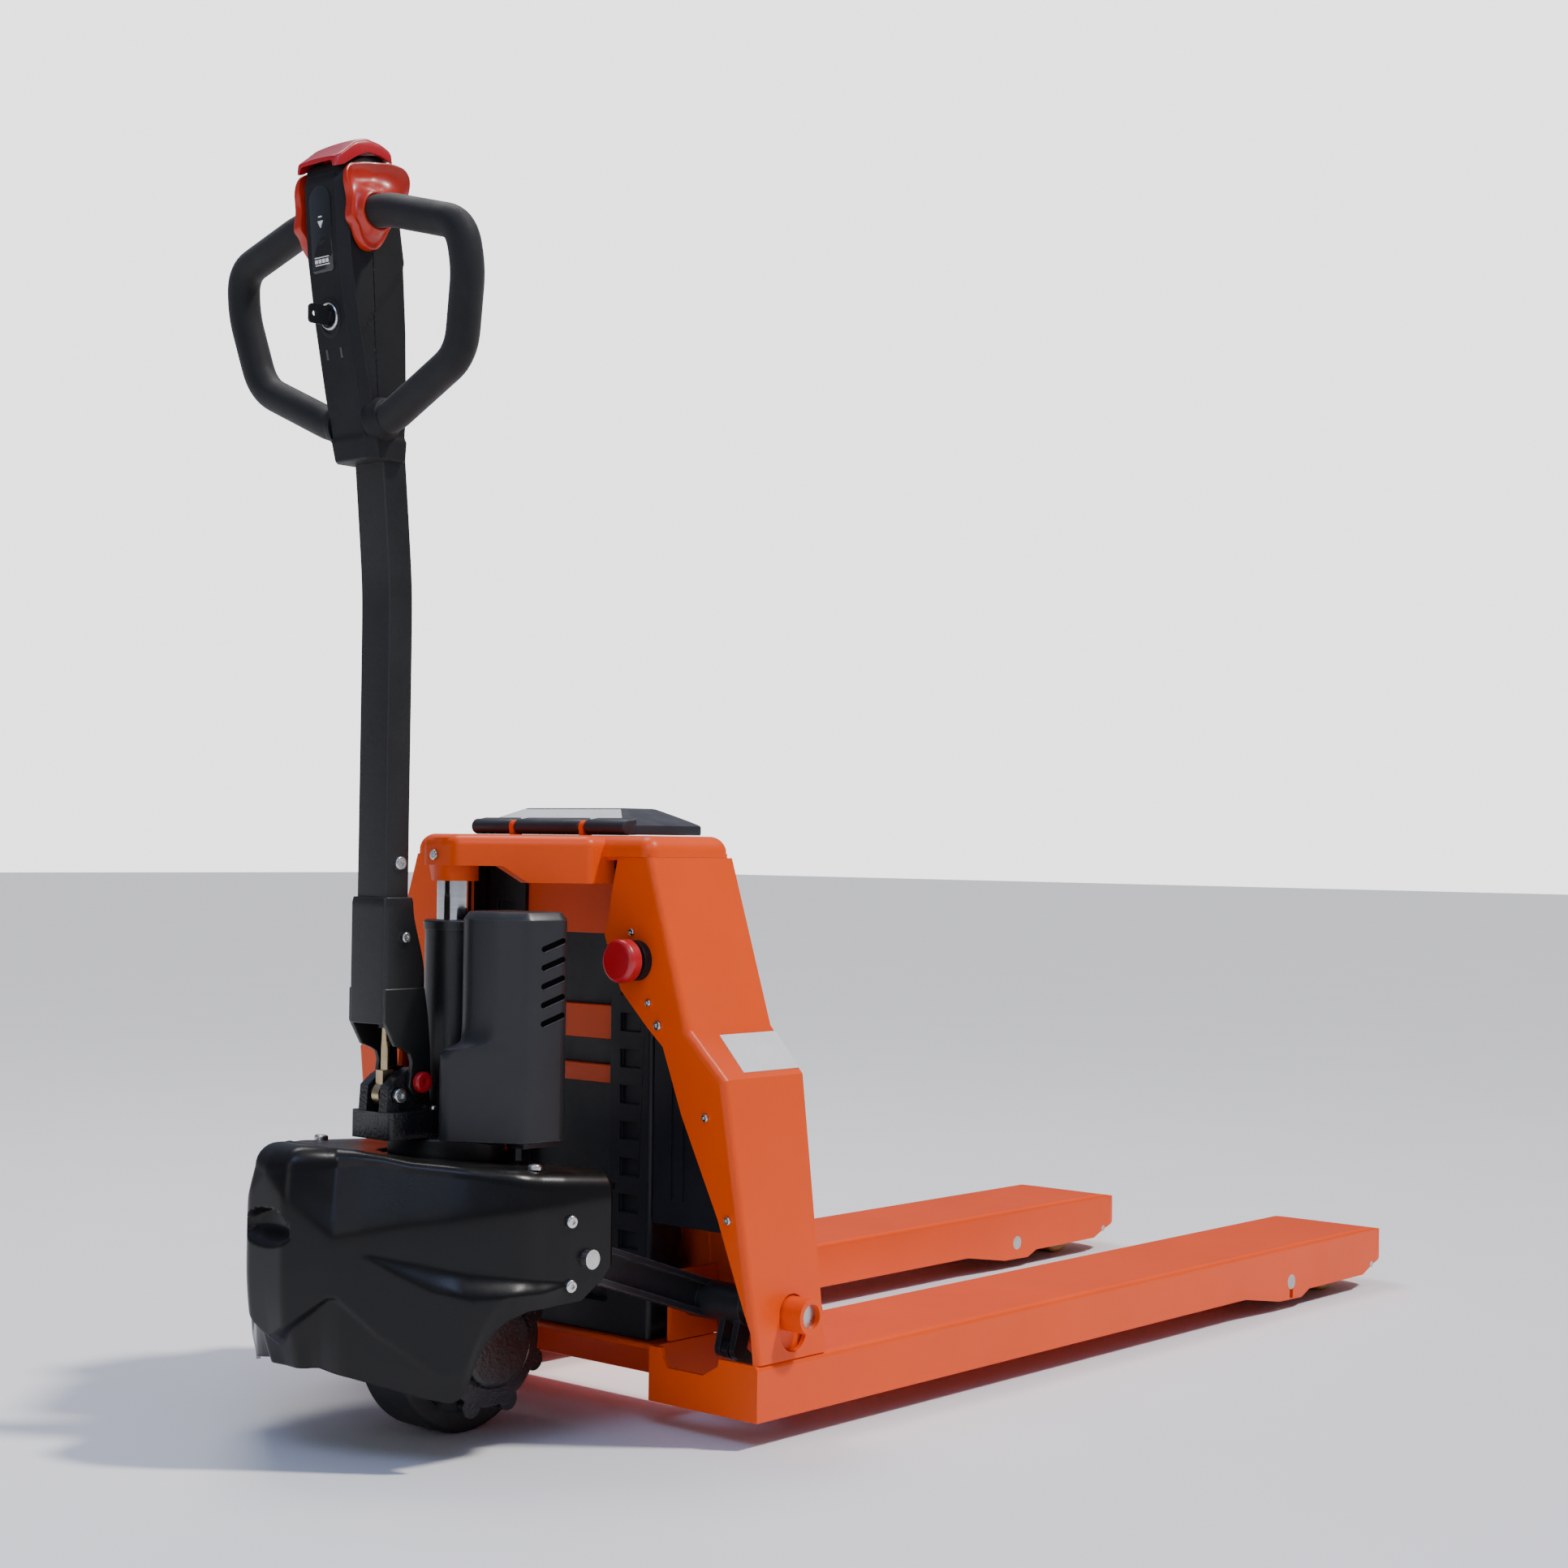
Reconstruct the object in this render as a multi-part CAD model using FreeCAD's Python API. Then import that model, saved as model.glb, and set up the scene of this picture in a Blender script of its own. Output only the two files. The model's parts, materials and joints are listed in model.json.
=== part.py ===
import FreeCAD, Part
import math
import os

from FreeCAD import Vector

# Powered pallet truck. Lengths are millimetres. While a piece is being made, x = 0 is the load face of
# the fork carriage, +X runs to the fork tips, +Z is up, z = 0 is the ground and y = 0 the middle plane.
# The right-hand side is -Y. Every piece is moved so that the origin is the middle of the footprint.

# ---------------------------------------------------------------- driving dimensions
HALF_WIDTH = 280.0          # overall width 560 over the forks
FORK_INNER = 138.0          # inner face of each fork
FORK_MID = 0.5 * (HALF_WIDTH + FORK_INNER)
FORK_TIP = 1152.0
FORK_TOP = 80.0
FORK_BOTTOM = 26.0
LEG_TOP = 79.5               # the leg under each column, just below the load face
SHEET = 5.0                 # plate thickness of the fork carriage
BUMPER_FRONT = -458.0
ORIGIN_X = 0.5 * (BUMPER_FRONT + FORK_TIP)

STEER_X = -236.0            # steering axis, piston rod and drive wheel are in line
WHEEL_R = 90.0
HUB_R = 70.0
ROD_R = 18.0
CYLINDER_R = 29.0
PUMP_X = STEER_X - 4.0
PUMP_Y = -97.0

LIFT_PIVOT = (-47.0, 122.0)       # link arm pivot in the carriage
LINK_PIN = (-231.0, 185.0)        # link arm pin in the drive chassis
LINK_Y = 165.0
LINK_ANGLE = 18.9                 # link arm above level when lowered
LEVER_R = 43.0                    # short lever that moves the push rod
LEVER_ANGLE = 15.88
ARM_PIVOT = (900.0, 34.0)         # load wheel arm pivot in the fork
ARM_AXLE = (1050.0, 36.0)
LUG_R = 31.4
LUG_ANGLE = 22.0
LOAD_WHEEL_R = 36.0
ROLLER = (1108.0, 31.0)
ROLLER_R = 12.0

TILLER_PIVOT = (-300.0, 341.0)
GAS_X = -321.0                    # gas spring axis, inside the tiller sleeve
GAS_EYE_Z = 329.0
BOLT_HEAD_R = 7.5                 # bolt that holds the gas spring's eye

FIT = 0.05                  # radial clearance of a running fit
GAP = 0.3                   # clearance between curved faces that only pass each other

X_AXIS = Vector(1, 0, 0)
Y_AXIS = Vector(0, 1, 0)
Z_AXIS = Vector(0, 0, 1)


# ---------------------------------------------------------------- helpers
def box(x0, x1, y0, y1, z0, z1):
    return Part.makeBox(x1 - x0, y1 - y0, z1 - z0, Vector(x0, y0, z0))


def cyl(radius, start, length, axis):
    return Part.makeCylinder(radius, length, Vector(*start), axis)


def pipe(outer, inner, start, length, axis):
    return cyl(outer, start, length, axis).cut(cyl(inner, start, length, axis))


def polygon(points):
    return Part.Face(Part.makePolygon(points + [points[0]]))


def prism_y(points_xz, y0, y1):
    return polygon([Vector(x, y0, z) for x, z in points_xz]).extrude(Vector(0, y1 - y0, 0))


def prism_x(points_yz, x0, x1):
    return polygon([Vector(x0, y, z) for y, z in points_yz]).extrude(Vector(x1 - x0, 0, 0))


def prism_z(points_xy, z0, z1):
    return polygon([Vector(x, y, z0) for x, y in points_xy]).extrude(Vector(0, 0, z1 - z0))


def obround_y(a, b, radius, y0, y1):
    """Slot or link shape between two points (x, z), as thick as y0 to y1."""
    length = math.hypot(b[0] - a[0], b[1] - a[1])
    nx = -(b[1] - a[1]) / length * radius
    nz = (b[0] - a[0]) / length * radius
    bar = prism_y([(a[0] + nx, a[1] + nz), (b[0] + nx, b[1] + nz),
                   (b[0] - nx, b[1] - nz), (a[0] - nx, a[1] - nz)], y0, y1)
    ends = [cyl(radius, (p[0], y0, p[1]), y1 - y0, Y_AXIS) for p in (a, b)]
    return bar.multiFuse(ends).removeSplitter()


def fuse(*shapes):
    return shapes[0].multiFuse(list(shapes[1:])).removeSplitter()


def round_edges(shape, radius, wanted):
    """Fillet the edges that the test picks out."""
    edges = [e for e in shape.Edges if wanted(e)]
    return shape.makeFillet(radius, edges)


def vertical(edge):
    box_ = edge.BoundBox
    return box_.ZLength > 1.0 and box_.XLength < 1e-3 and box_.YLength < 1e-3


def along_x(edge):
    box_ = edge.BoundBox
    return box_.XLength > 1.0 and box_.ZLength < 1e-3 and box_.YLength < 1e-3


def along_y(edge):
    box_ = edge.BoundBox
    return box_.YLength > 1.0 and box_.ZLength < 1e-3 and box_.XLength < 1e-3


def at_height(z):
    return lambda e: abs(e.BoundBox.ZMin - z) < 1e-3 and abs(e.BoundBox.ZMax - z) < 1e-3


def mirrored(shape):
    return shape.mirror(Vector(0, 0, 0), Y_AXIS)


def group(solids):
    return Part.Compound(solids)


def write(name, shape):
    moved = shape.copy()
    moved.translate(Vector(-ORIGIN_X, 0, 0))
    moved.exportStep("parts/%s.step" % name)


def polar(center, radius, degrees):
    """Point (x, z) at an angle from +Z towards +X."""
    angle = math.radians(degrees)
    return (center[0] + radius * math.sin(angle), center[1] + radius * math.cos(angle))


def dome_screw(base, direction, radius, height):
    """Pan head with a hexagon socket, its flat side on base."""
    axis = Vector(*direction)
    head = Part.makeCylinder(radius, height, Vector(*base), axis)
    top = [e for e in head.Edges if e.Curve.TypeId == "Part::GeomCircle"
           and (e.CenterOfMass - Vector(*base)).Length > 0.5 * height]
    head = head.makeFillet(0.45 * height, top)
    socket_at = Vector(*base) + axis.normalize() * (0.55 * height)
    socket = Part.makeCylinder(0.42 * radius, height, socket_at, axis)
    return head.cut(socket)


# ---------------------------------------------------------------- fork carriage
def fork():
    side = [(-99, FORK_TOP), (-99, FORK_BOTTOM), (790, FORK_BOTTOM), (872, 13), (925, 12),
            (945, 20), (1085, 20), (1110, 30), (1138, 38), (FORK_TIP, 50), (FORK_TIP, 62),
            (1138, 74), (1100, FORK_TOP)]
    outer = prism_y(side, -HALF_WIDTH, -FORK_INNER)
    outer = round_edges(outer, 6.0, lambda e: along_x(e) and at_height(FORK_TOP)(e))
    plan = box(-99, FORK_TIP, -HALF_WIDTH, -FORK_INNER, 0, 100)
    outer = outer.common(round_edges(plan, 30.0, lambda e: vertical(e) and e.BoundBox.XMin > FORK_TIP - 1))
    inside = box(-94, 1128, -HALF_WIDTH + SHEET, -FORK_INNER - SHEET, 0, FORK_TOP - SHEET)
    leg_top = box(-94, -5, -HALF_WIDTH + SHEET, -FORK_INNER - SHEET, 70, 90)
    outer = outer.cut(inside).cut(leg_top).cut(box(-100, 0, -HALF_WIDTH - 1, -FORK_INNER + 1, LEG_TOP, 90))
    notch = [(-153, 90), (-156, 70), (-163, 61), (-210, 61), (-229, 72), (-233, 90)]
    outer = outer.cut(prism_x(notch, -110, -80))
    pin = cyl(9.0, (ARM_PIVOT[0], -HALF_WIDTH - 1, ARM_PIVOT[1]), HALF_WIDTH, Y_AXIS)
    slot = box(ARM_PIVOT[0] - 4, ARM_PIVOT[0] + 4, -HALF_WIDTH - 1, -HALF_WIDTH + 8, 14, ARM_PIVOT[1])
    axle = cyl(4.0, (ROLLER[0], -HALF_WIDTH - 1, ROLLER[1]), HALF_WIDTH, Y_AXIS)
    return outer.cut(pin).cut(slot).cut(axle)


def column_section(z, front, rear, outer, inner, inset):
    return Part.makePolygon([Vector(front + inset, outer + inset, z), Vector(rear - inset, outer + inset, z),
                             Vector(rear - inset, inner, z), Vector(front + inset, inner, z),
                             Vector(front + inset, outer + inset, z)])


ESTOP = (-158.0, 457.0)          # emergency stop on the right column flange (y, z)
COLUMN = [(LEG_TOP, -99.0, 0.0, -280.0), (349.0, -137.0, -24.0, -267.0),
          (393.0, -143.0, -24.0, -225.0), (556.0, -142.0, -25.0, -172.0)]


def outer_front_corner(edge):
    """Edges between a column's flat side and its front flange."""
    return edge.BoundBox.ZLength > 30 and edge.BoundBox.YMax < -171 and edge.BoundBox.XMax < -90


def column(estop_side=True):
    outer = Part.makeLoft([column_section(z, f, r, o, -100.0, 0.0) for z, f, r, o in COLUMN], True, True)
    inner = Part.makeLoft([column_section(z, f, r, o, -90.0, SHEET) for z, f, r, o in COLUMN], True, True)
    outer = round_edges(outer, 7.0, outer_front_corner)
    shell = outer.cut(inner)
    flange_edge = [(-60, 600), (-128, 600), (-128, 553), (-121, 521), (-118, 497), (-112, 481),
                   (-124, 450), (-136, 427), (-191, 376), (-208, 312), (-244, 216), (-262, 150),
                   (-274, 110), (-274, 60), (-60, 60)]
    shell = shell.cut(prism_x(flange_edge, -170, -60))
    shell = shell.cut(box(-60, 20, -FORK_INNER, -60, 60, 600))
    x, z = LIFT_PIVOT
    slot = obround_y((x, z), (x, z - 17), 19.0, -HALF_WIDTH - 5, -262)
    backing = box(x - 32, x + 36, -272, -266, 82, 150)
    stay = box(x - 32, x + 36, -148, -143, 82, 150)
    tie = box(-6, -1, -272, -143, 80, 150)
    boss = cyl(17.0, (x, -302, z), 36, Y_AXIS)
    bore = cyl(12.0, (x, -310, z), 200, Y_AXIS)
    shell = fuse(shell.cut(slot), backing, stay, tie, boss)
    shell = shell.cut(bore)
    if estop_side:
        shell = shell.cut(cyl(11.0, (-160, *ESTOP), 30, X_AXIS))
    return shell


def front_hood():
    cap_plan = [(-25, -172), (-142, -172), (-146, -120), (-146, 120), (-142, 172), (-25, 172)]
    cap = prism_z(cap_plan, 556.3, 577)
    cap = round_edges(cap, 14.0, lambda e: vertical(e) and abs(e.CenterOfMass.y) > 160)
    cap = round_edges(cap, 16.0, lambda e: at_height(577)(e))
    nose_plan = [(-130, -112), (-162, -112), (-258, -22), (-258, 22), (-162, 112), (-130, 112)]
    nose = prism_z(nose_plan, 530, 576)
    nose = round_edges(nose, 14.0, lambda e: vertical(e) and e.BoundBox.XMax < -150)
    nose = round_edges(nose, 11.0, lambda e: at_height(576)(e) and e.BoundBox.XMin < -131)
    inner_plan = [(-120, -105), (-159, -105), (-251, -18), (-251, 18), (-159, 105), (-120, 105)]
    nose = nose.cut(prism_z(inner_plan, 500, 570))
    lip = [(-300, 500), (-300, 546), (-224, 546), (-206, 530), (-206, 500)]
    nose = nose.cut(prism_y(lip, -150, 150))
    boss = cyl(22.0, (STEER_X, 0, 531), 42, Z_AXIS)
    lugs = [cyl(7.0, (-111, y - 3, 585), 6, Y_AXIS) for y in (-51, 51)]
    feet = [box(-117, -105, y - 3, y + 3, 572, 585) for y in (-51, 51)]
    hood = fuse(cap, nose, boss, *(lugs + feet))
    recess = cyl(ROD_R, (STEER_X, 0, 500), 58, Z_AXIS)
    pins = [cyl(3.0, (-111, y - 5, 585), 10, Y_AXIS) for y in (-51, 51)]
    battery_mouth = round_edges(box(-100, -38, -102, 102, 550, 590), 8.0, vertical)
    return hood.cut(recess).cut(group(pins)).cut(battery_mouth)


def cross_member():
    beam = box(-27, -3, -FORK_INNER, FORK_INNER, 31, 73)
    beam = beam.cut(box(-22, 0, -FORK_INNER, FORK_INNER, 36, 68))
    shelf = box(-92, -3, -FORK_INNER, FORK_INNER, 73, 79)
    return fuse(beam, shelf)


def load_backplate():
    outline = [(-6, 79), (0, 79), (-24, 349), (-25, 556), (-31, 556), (-30, 349)]
    return prism_y(outline, -FORK_INNER, FORK_INNER)


def battery_case():
    case = box(-84, -36, -122, 122, 79, 545)
    case = round_edges(case, 5.0, vertical)
    bay = box(-90, -72, -64, 64, 110, 540)
    bay = round_edges(bay, 4.0, along_x)
    ribs = [box(-90, -80, side * 92 - 14, side * 92 + 14, z, z + 18)
            for side in (-1, 1) for z in range(130, 520, 36)]
    return case.cut(bay).cut(group(ribs))


def battery_straps():
    return group([box(-80, -72, -64, 64, z0, z1) for z0, z1 in ((478, 532), (372, 406), (328, 346))])


def side_liners():
    outline = [(-126, 196), (-248, 196), (-246, 216), (-212, 352), (-196, 392), (-160, 545), (-126, 545)]
    panel = prism_x(outline, -84, -80)
    creases = [box(-85, -83, y - 3, y, 220, 500) for y in (-150, -166)]
    panel = panel.cut(group(creases))
    return group([panel, mirrored(panel)])


def estop_base():
    collar = cyl(19.5, (-152, *ESTOP), 9, X_AXIS)
    neck = cyl(11.0, (-143, *ESTOP), 14, X_AXIS)
    return fuse(collar, neck).cut(cyl(8.0 + FIT, (-160, *ESTOP), 24, X_AXIS))


def estop_button():
    cap = cyl(21.0, (-172, *ESTOP), 14, X_AXIS)
    cap = round_edges(cap, 5.0, lambda e: e.BoundBox.XMax < -171 and e.BoundBox.XLength < 1e-3)
    stem = cyl(8.0, (-160, *ESTOP), 16, X_AXIS)
    return fuse(cap, stem)


def flange_x(z):
    """Front face of the column flange at a height."""
    for (z0, f0, _, _), (z1, f1, _, _) in zip(COLUMN, COLUMN[1:]):
        if z0 <= z <= z1:
            return f0 + (f1 - f0) * (z - z0) / (z1 - z0)
    return COLUMN[-1][1]


def frame_screws():
    spots = [(-138, 440, 4.0), (-174, 417, 3.5), (-187, 396, 4.5), (-240, 312, 4.0), (-258, 216, 4.0)]
    heads = []
    for y, z, radius in spots:
        slope = (flange_x(z + 1) - flange_x(z - 1)) / 2
        normal = Vector(-1, 0, slope).normalize()
        for side in (1, -1):
            base = (flange_x(z), side * y, z)
            heads.append(dome_screw(base, tuple(normal), radius, 3.0))
    for side in (1, -1):
        heads.append(dome_screw((-142.9, side * 150, 484), (-1, 0, 0), 3.5, 2.5))
    heads.append(dome_screw((-258.2, 6, 556), (-1, 0, 0), 5.0, 3.0))
    return group(heads)


def name_plate():
    along = Vector(1, 0, 0)
    up = Vector(0, 42, 44).normalize()
    out = Vector(0, -44, 42).normalize()
    low = Vector(-104, -267, 349) + up * 7
    size = 46.0
    corners = [low, low + along * 80, low + along * 80 + up * size, low + up * size]
    return polygon(corners).extrude(out * 0.8)


def piston_rod():
    rod = cyl(ROD_R, (STEER_X, 0, 300), 258, Z_AXIS)
    piston = cyl(CYLINDER_R - 5 - FIT, (STEER_X, 0, 300), 18, Z_AXIS)
    return fuse(rod, piston)


def carriage_pins():
    """Fixed pins of the carriage: link pivots, arm pivots, entry roller axles and lid hinge."""
    x, z = LIFT_PIVOT
    pins = []
    for side in (-1, 1):
        start = -296 if side < 0 else 143
        pins.append(cyl(12.0, (x, start, z), 153, Y_AXIS))
        low = -HALF_WIDTH if side < 0 else FORK_INNER
        pins.append(cyl(9.0, (ARM_PIVOT[0], low, ARM_PIVOT[1]), HALF_WIDTH - FORK_INNER, Y_AXIS))
        pins.append(cyl(4.0, (ROLLER[0], low, ROLLER[1]), HALF_WIDTH - FORK_INNER, Y_AXIS))
        pins.append(cyl(3.0, (-111, side * 51 - 20, 585), 40, Y_AXIS))
    return group(pins)


# ---------------------------------------------------------------- lid
def battery_lid():
    rim = prism_z([(-104, -114), (-4, -114), (-4, 114), (-104, 114)], 578, 588)
    rim = round_edges(rim, 6.0, vertical)
    base = Part.makePolygon([Vector(x, y, 588) for x, y in
                             ((-110, -112), (-6, -112), (-6, 112), (-110, 112), (-110, -112))])
    crown = Part.makePolygon([Vector(x, y, 605) for x, y in
                              ((-92, -62), (-20, -62), (-20, 86), (-92, 86), (-92, -62))])
    hip = Part.makeLoft([base, crown], True, True)
    front = cyl(7.0, (-111, -112, 585), 224, Y_AXIS)
    lid = fuse(rim, hip, front)
    knuckle_room = [box(-125, -101, y - 3.4, y + 3.4, 570, 610) for y in (-51, 51)]
    pins = cyl(3.0 + FIT, (-111, -120, 585), 240, Y_AXIS)
    under = box(-96, -12, -100, 100, 570, 585)
    return lid.cut(group(knuckle_room)).cut(pins).cut(under)


# ---------------------------------------------------------------- lift linkage
def link_arm():
    """Channel-shaped bell crank: long arm to the drive chassis, short lever to the push rod."""
    px, pz = LIFT_PIVOT
    cx, cz = LINK_PIN
    reach = math.hypot(cx - px, cz - pz)
    y0 = -LINK_Y - 11
    y1 = -LINK_Y + 11
    web = [(0, -12), (0, 12), (reach - 18, 16), (reach - 18, -16)]
    low_edge = [(6, -18), (6, -12), (reach - 18, -12), (reach - 18, -18)]
    high_edge = [(6, 18), (6, 12), (reach - 18, 12), (reach - 18, 18)]

    def place(points, a, b):
        shape = prism_y([(px - u, pz + v) for u, v in points], a, b)
        shape.rotate(Vector(px, 0, pz), Y_AXIS, LINK_ANGLE)
        return shape

    eye = obround_y((px - reach + 13, pz), (px - reach - 1, pz), 17.0, y0, y1)
    slot = obround_y((px - reach + 12, pz), (px - reach - 1, pz), 11.5, y0 - 1, y1 + 1)
    for shape in (eye, slot):
        shape.rotate(Vector(px, 0, pz), Y_AXIS, LINK_ANGLE)
    arm = fuse(place(web, y0 + 8, y1 - 8), place(low_edge, y0, y1), place(high_edge, y0, y1), eye)
    hub = cyl(19.0, (px, -224, pz), 74, Y_AXIS)
    tip = polar(LIFT_PIVOT, LEVER_R, 180 + LEVER_ANGLE)
    cheeks = [obround_y(LIFT_PIVOT, tip, 9.0, y, y + 7) for y in (-222, -203)]
    pin = cyl(5.0, (tip[0], -222, tip[1]), 26, Y_AXIS)
    arm = fuse(arm, hub, pin, *cheeks)
    return arm.cut(slot).cut(cyl(12.0 + FIT, (px, -240, pz), 120, Y_AXIS))


def push_rod():
    rear = polar(LIFT_PIVOT, LEVER_R, 180 + LEVER_ANGLE)
    front = polar(ARM_PIVOT, LUG_R, -LUG_ANGLE)
    rod_z = 61.0
    mid = -FORK_MID
    rear_z = rear[1] - 0.8
    front_z = front[1] + 1.2
    rod = cyl(7.0, (-22, mid, rod_z), front[0] - 14 + 22, X_AXIS)
    plate = prism_y([(rear[0], rear_z + 8), (rear[0] + 12, rear_z + 6), (-26, rod_z + 6), (-10, rod_z + 6),
                     (-10, rod_z - 6), (-30, rod_z - 6), (rear[0] - 2, rear_z - 8)], mid - 4, mid + 4)
    rear_eye = cyl(9.0, (rear[0], mid - 4, rear_z), 8, Y_AXIS)
    front_eye = cyl(9.0, (front[0], mid - 4, front_z), 8, Y_AXIS)
    front_plate = box(front[0] - 30, front[0], mid - 4, mid + 4, rod_z - 5, rod_z + 6)
    bar = fuse(rod, plate, rear_eye, front_eye, front_plate)
    bar = bar.cut(cyl(6.2, (rear[0], mid - 9, rear_z), 18, Y_AXIS))
    return bar.cut(cyl(6.6, (front[0], mid - 9, front_z), 18, Y_AXIS))


def wheel_arm():
    """Twin-plate arm that carries the load wheel and its lug for the push rod."""
    mid = -FORK_MID
    lug = polar(ARM_PIVOT, LUG_R, -LUG_ANGLE)
    plates = [obround_y(ARM_PIVOT, ARM_AXLE, 13.0, mid + a, mid + a + 7) for a in (-44, 37)]
    barrel = cyl(14.0, (ARM_PIVOT[0], mid - 44, ARM_PIVOT[1]), 88, Y_AXIS)
    cheeks = [obround_y(ARM_PIVOT, lug, 7.5, mid + a, mid + a + 7) for a in (-13, 6)]
    pin = cyl(5.0, (lug[0], mid - 13, lug[1]), 26, Y_AXIS)
    axle = cyl(8.0, (ARM_AXLE[0], mid - 44, ARM_AXLE[1]), 88, Y_AXIS)
    arm = fuse(barrel, pin, axle, *(plates + cheeks))
    return arm.cut(cyl(9.0 + FIT, (ARM_PIVOT[0], mid - 60, ARM_PIVOT[1]), 120, Y_AXIS))


def load_wheel():
    mid = -FORK_MID
    wheel = cyl(LOAD_WHEEL_R, (ARM_AXLE[0], mid - 35, ARM_AXLE[1]), 70, Y_AXIS)
    wheel = round_edges(wheel, 4.0, lambda e: e.BoundBox.YLength < 1e-3)
    for y in (mid - 35, mid + 31):
        wheel = wheel.cut(pipe(25.0, 14.0, (ARM_AXLE[0], y, ARM_AXLE[1]), 4, Y_AXIS))
    return wheel.cut(cyl(8.0 + FIT, (ARM_AXLE[0], mid - 60, ARM_AXLE[1]), 120, Y_AXIS))


def entry_roller():
    mid = -FORK_MID
    roller = cyl(ROLLER_R, (ROLLER[0], mid - 30, ROLLER[1]), 60, Y_AXIS)
    roller = round_edges(roller, 2.0, lambda e: e.BoundBox.YLength < 1e-3)
    return roller.cut(cyl(4.0 + FIT, (ROLLER[0], mid - 40, ROLLER[1]), 80, Y_AXIS))


# ---------------------------------------------------------------- drive chassis
BUMPER_PLAN = [(-204, 190), (-300, 176), (-352, 146), (-430, 60), (BUMPER_FRONT, 27)]
BUMPER_TOP = [(-500, 296), (-418, 287), (-385, 278), (-333, 272), (-288, 269), (-237, 265), (-190, 261)]


def bumper_outline(offset, z, lean):
    """Plan outline of the bumper, drawn in by an offset, at one height; the front leans."""
    half = [(x + (lean if x < -320 else 0) + (offset if x < -210 else 0), y - offset)
            for x, y in BUMPER_PLAN]
    points = [(x, -y) for x, y in half] + [(x, y) for x, y in reversed(half)]
    return Part.makePolygon([Vector(x, y, z) for x, y in points + [points[0]]])


def bumper_cover():
    levels = ((40, 18), (95, 9), (150, 0), (214, 0), (300, 18))
    outer = Part.makeLoft([bumper_outline(0, z, lean) for z, lean in levels], True, True)
    inner = Part.makeLoft([bumper_outline(4.5, z, lean) for z, lean in levels], True, True)
    outer = outer.cut(prism_y(BUMPER_TOP + [(-190, 330), (-500, 330)], -220, 220))
    cavity_top = [(x, z - 5) for x, z in BUMPER_TOP]
    inner = inner.cut(prism_y(cavity_top + [(-190, 330), (-500, 330)], -220, 220))
    shell = outer.cut(inner)
    shell = shell.cut(box(-215, -180, -186, 186, 0, 257))
    bottom = [(-500, 20), (-500, 88), (-452, 86), (-445, 94), (-419, 85), (-397, 78), (-388, 62),
              (-375, 54), (-356, 52), (-347, 67), (-344, 80), (-334, 112), (-321, 132), (-297, 144),
              (-238, 147), (-204, 176), (-180, 176), (-180, 20)]
    shell = shell.cut(prism_y(bottom, -220, 220))
    top_hole = cyl(66.0, (STEER_X, 0, 240), 60, Z_AXIS)
    rear_mouth = box(STEER_X, -180, -66, 66, 240, 300)
    shell = shell.cut(top_hole).cut(rear_mouth)
    for side in (-1, 1):
        y = -200 if side < 0 else 180
        shell = shell.cut(cyl(9.0, (LINK_PIN[0], y, LINK_PIN[1]), 20, Y_AXIS))
    return shell


def bumper_screws():
    heads = []
    for side in (-1, 1):
        for x, z in ((-251, 221), (-251, 162)):
            y = side * (190 - 14 * (-204 - x) / 96)
            heads.append(dome_screw((x, y + side * 0.1, z), (-0.146, side, 0), 6.0, 4.0))
        heads.append(dome_screw((-272, side * 156, 268.0), (0.078, 0, 1), 7.0, 5.0))
    return group(heads)


def chassis_frame():
    deck = prism_z([(-150, -140), (-150, 140), (-200, 154), (-290, 154), (-400, 60),
                    (-400, -60), (-290, -154), (-200, -154)], 236, 244)
    cheeks = []
    for side in (-1, 1):
        y = -148 if side < 0 else 140
        outline = [(-205, 236), (-290, 236), (-290, 200), (-256, 164), (-212, 164), (-205, 180)]
        cheeks.append(prism_y(outline, y, y + 8))
        cheeks.append(box(-272, -246, side * 160 - 12, side * 160 + 12, 236, 244))
        cheeks.append(box(-272, -246, side * 170 - 2, side * 170 + 2, 206, 244))
    nose = box(-404, -396, -50, 50, 150, 244)
    frame = fuse(deck, nose, *cheeks)
    seat = cyl(68.0, (STEER_X, 0, 200), 80, Z_AXIS)
    pins = cyl(10.0, (LINK_PIN[0], -200, LINK_PIN[1]), 400, Y_AXIS)
    return frame.cut(seat).cut(pins)


def link_pins():
    pins = []
    for side in (-1, 1):
        start = -190 if side < 0 else 140
        pin = cyl(10.0, (LINK_PIN[0], start, LINK_PIN[1]), 50, Y_AXIS)
        end = cyl(9.0, (LINK_PIN[0], -192.5 if side < 0 else 190, LINK_PIN[1]), 2.5, Y_AXIS)
        shoulder_y = -190 if side < 0 else 180
        shoulder = pipe(11.0, 9.0, (LINK_PIN[0], shoulder_y, LINK_PIN[1]), 10, Y_AXIS)
        pins.append(fuse(pin.cut(shoulder), end))
    return group(pins)


def steering_bearing():
    ring = pipe(68.0, 56.0, (STEER_X, 0, 236), 14, Z_AXIS)
    return round_edges(ring, 1.0, lambda e: at_height(250)(e))


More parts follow.
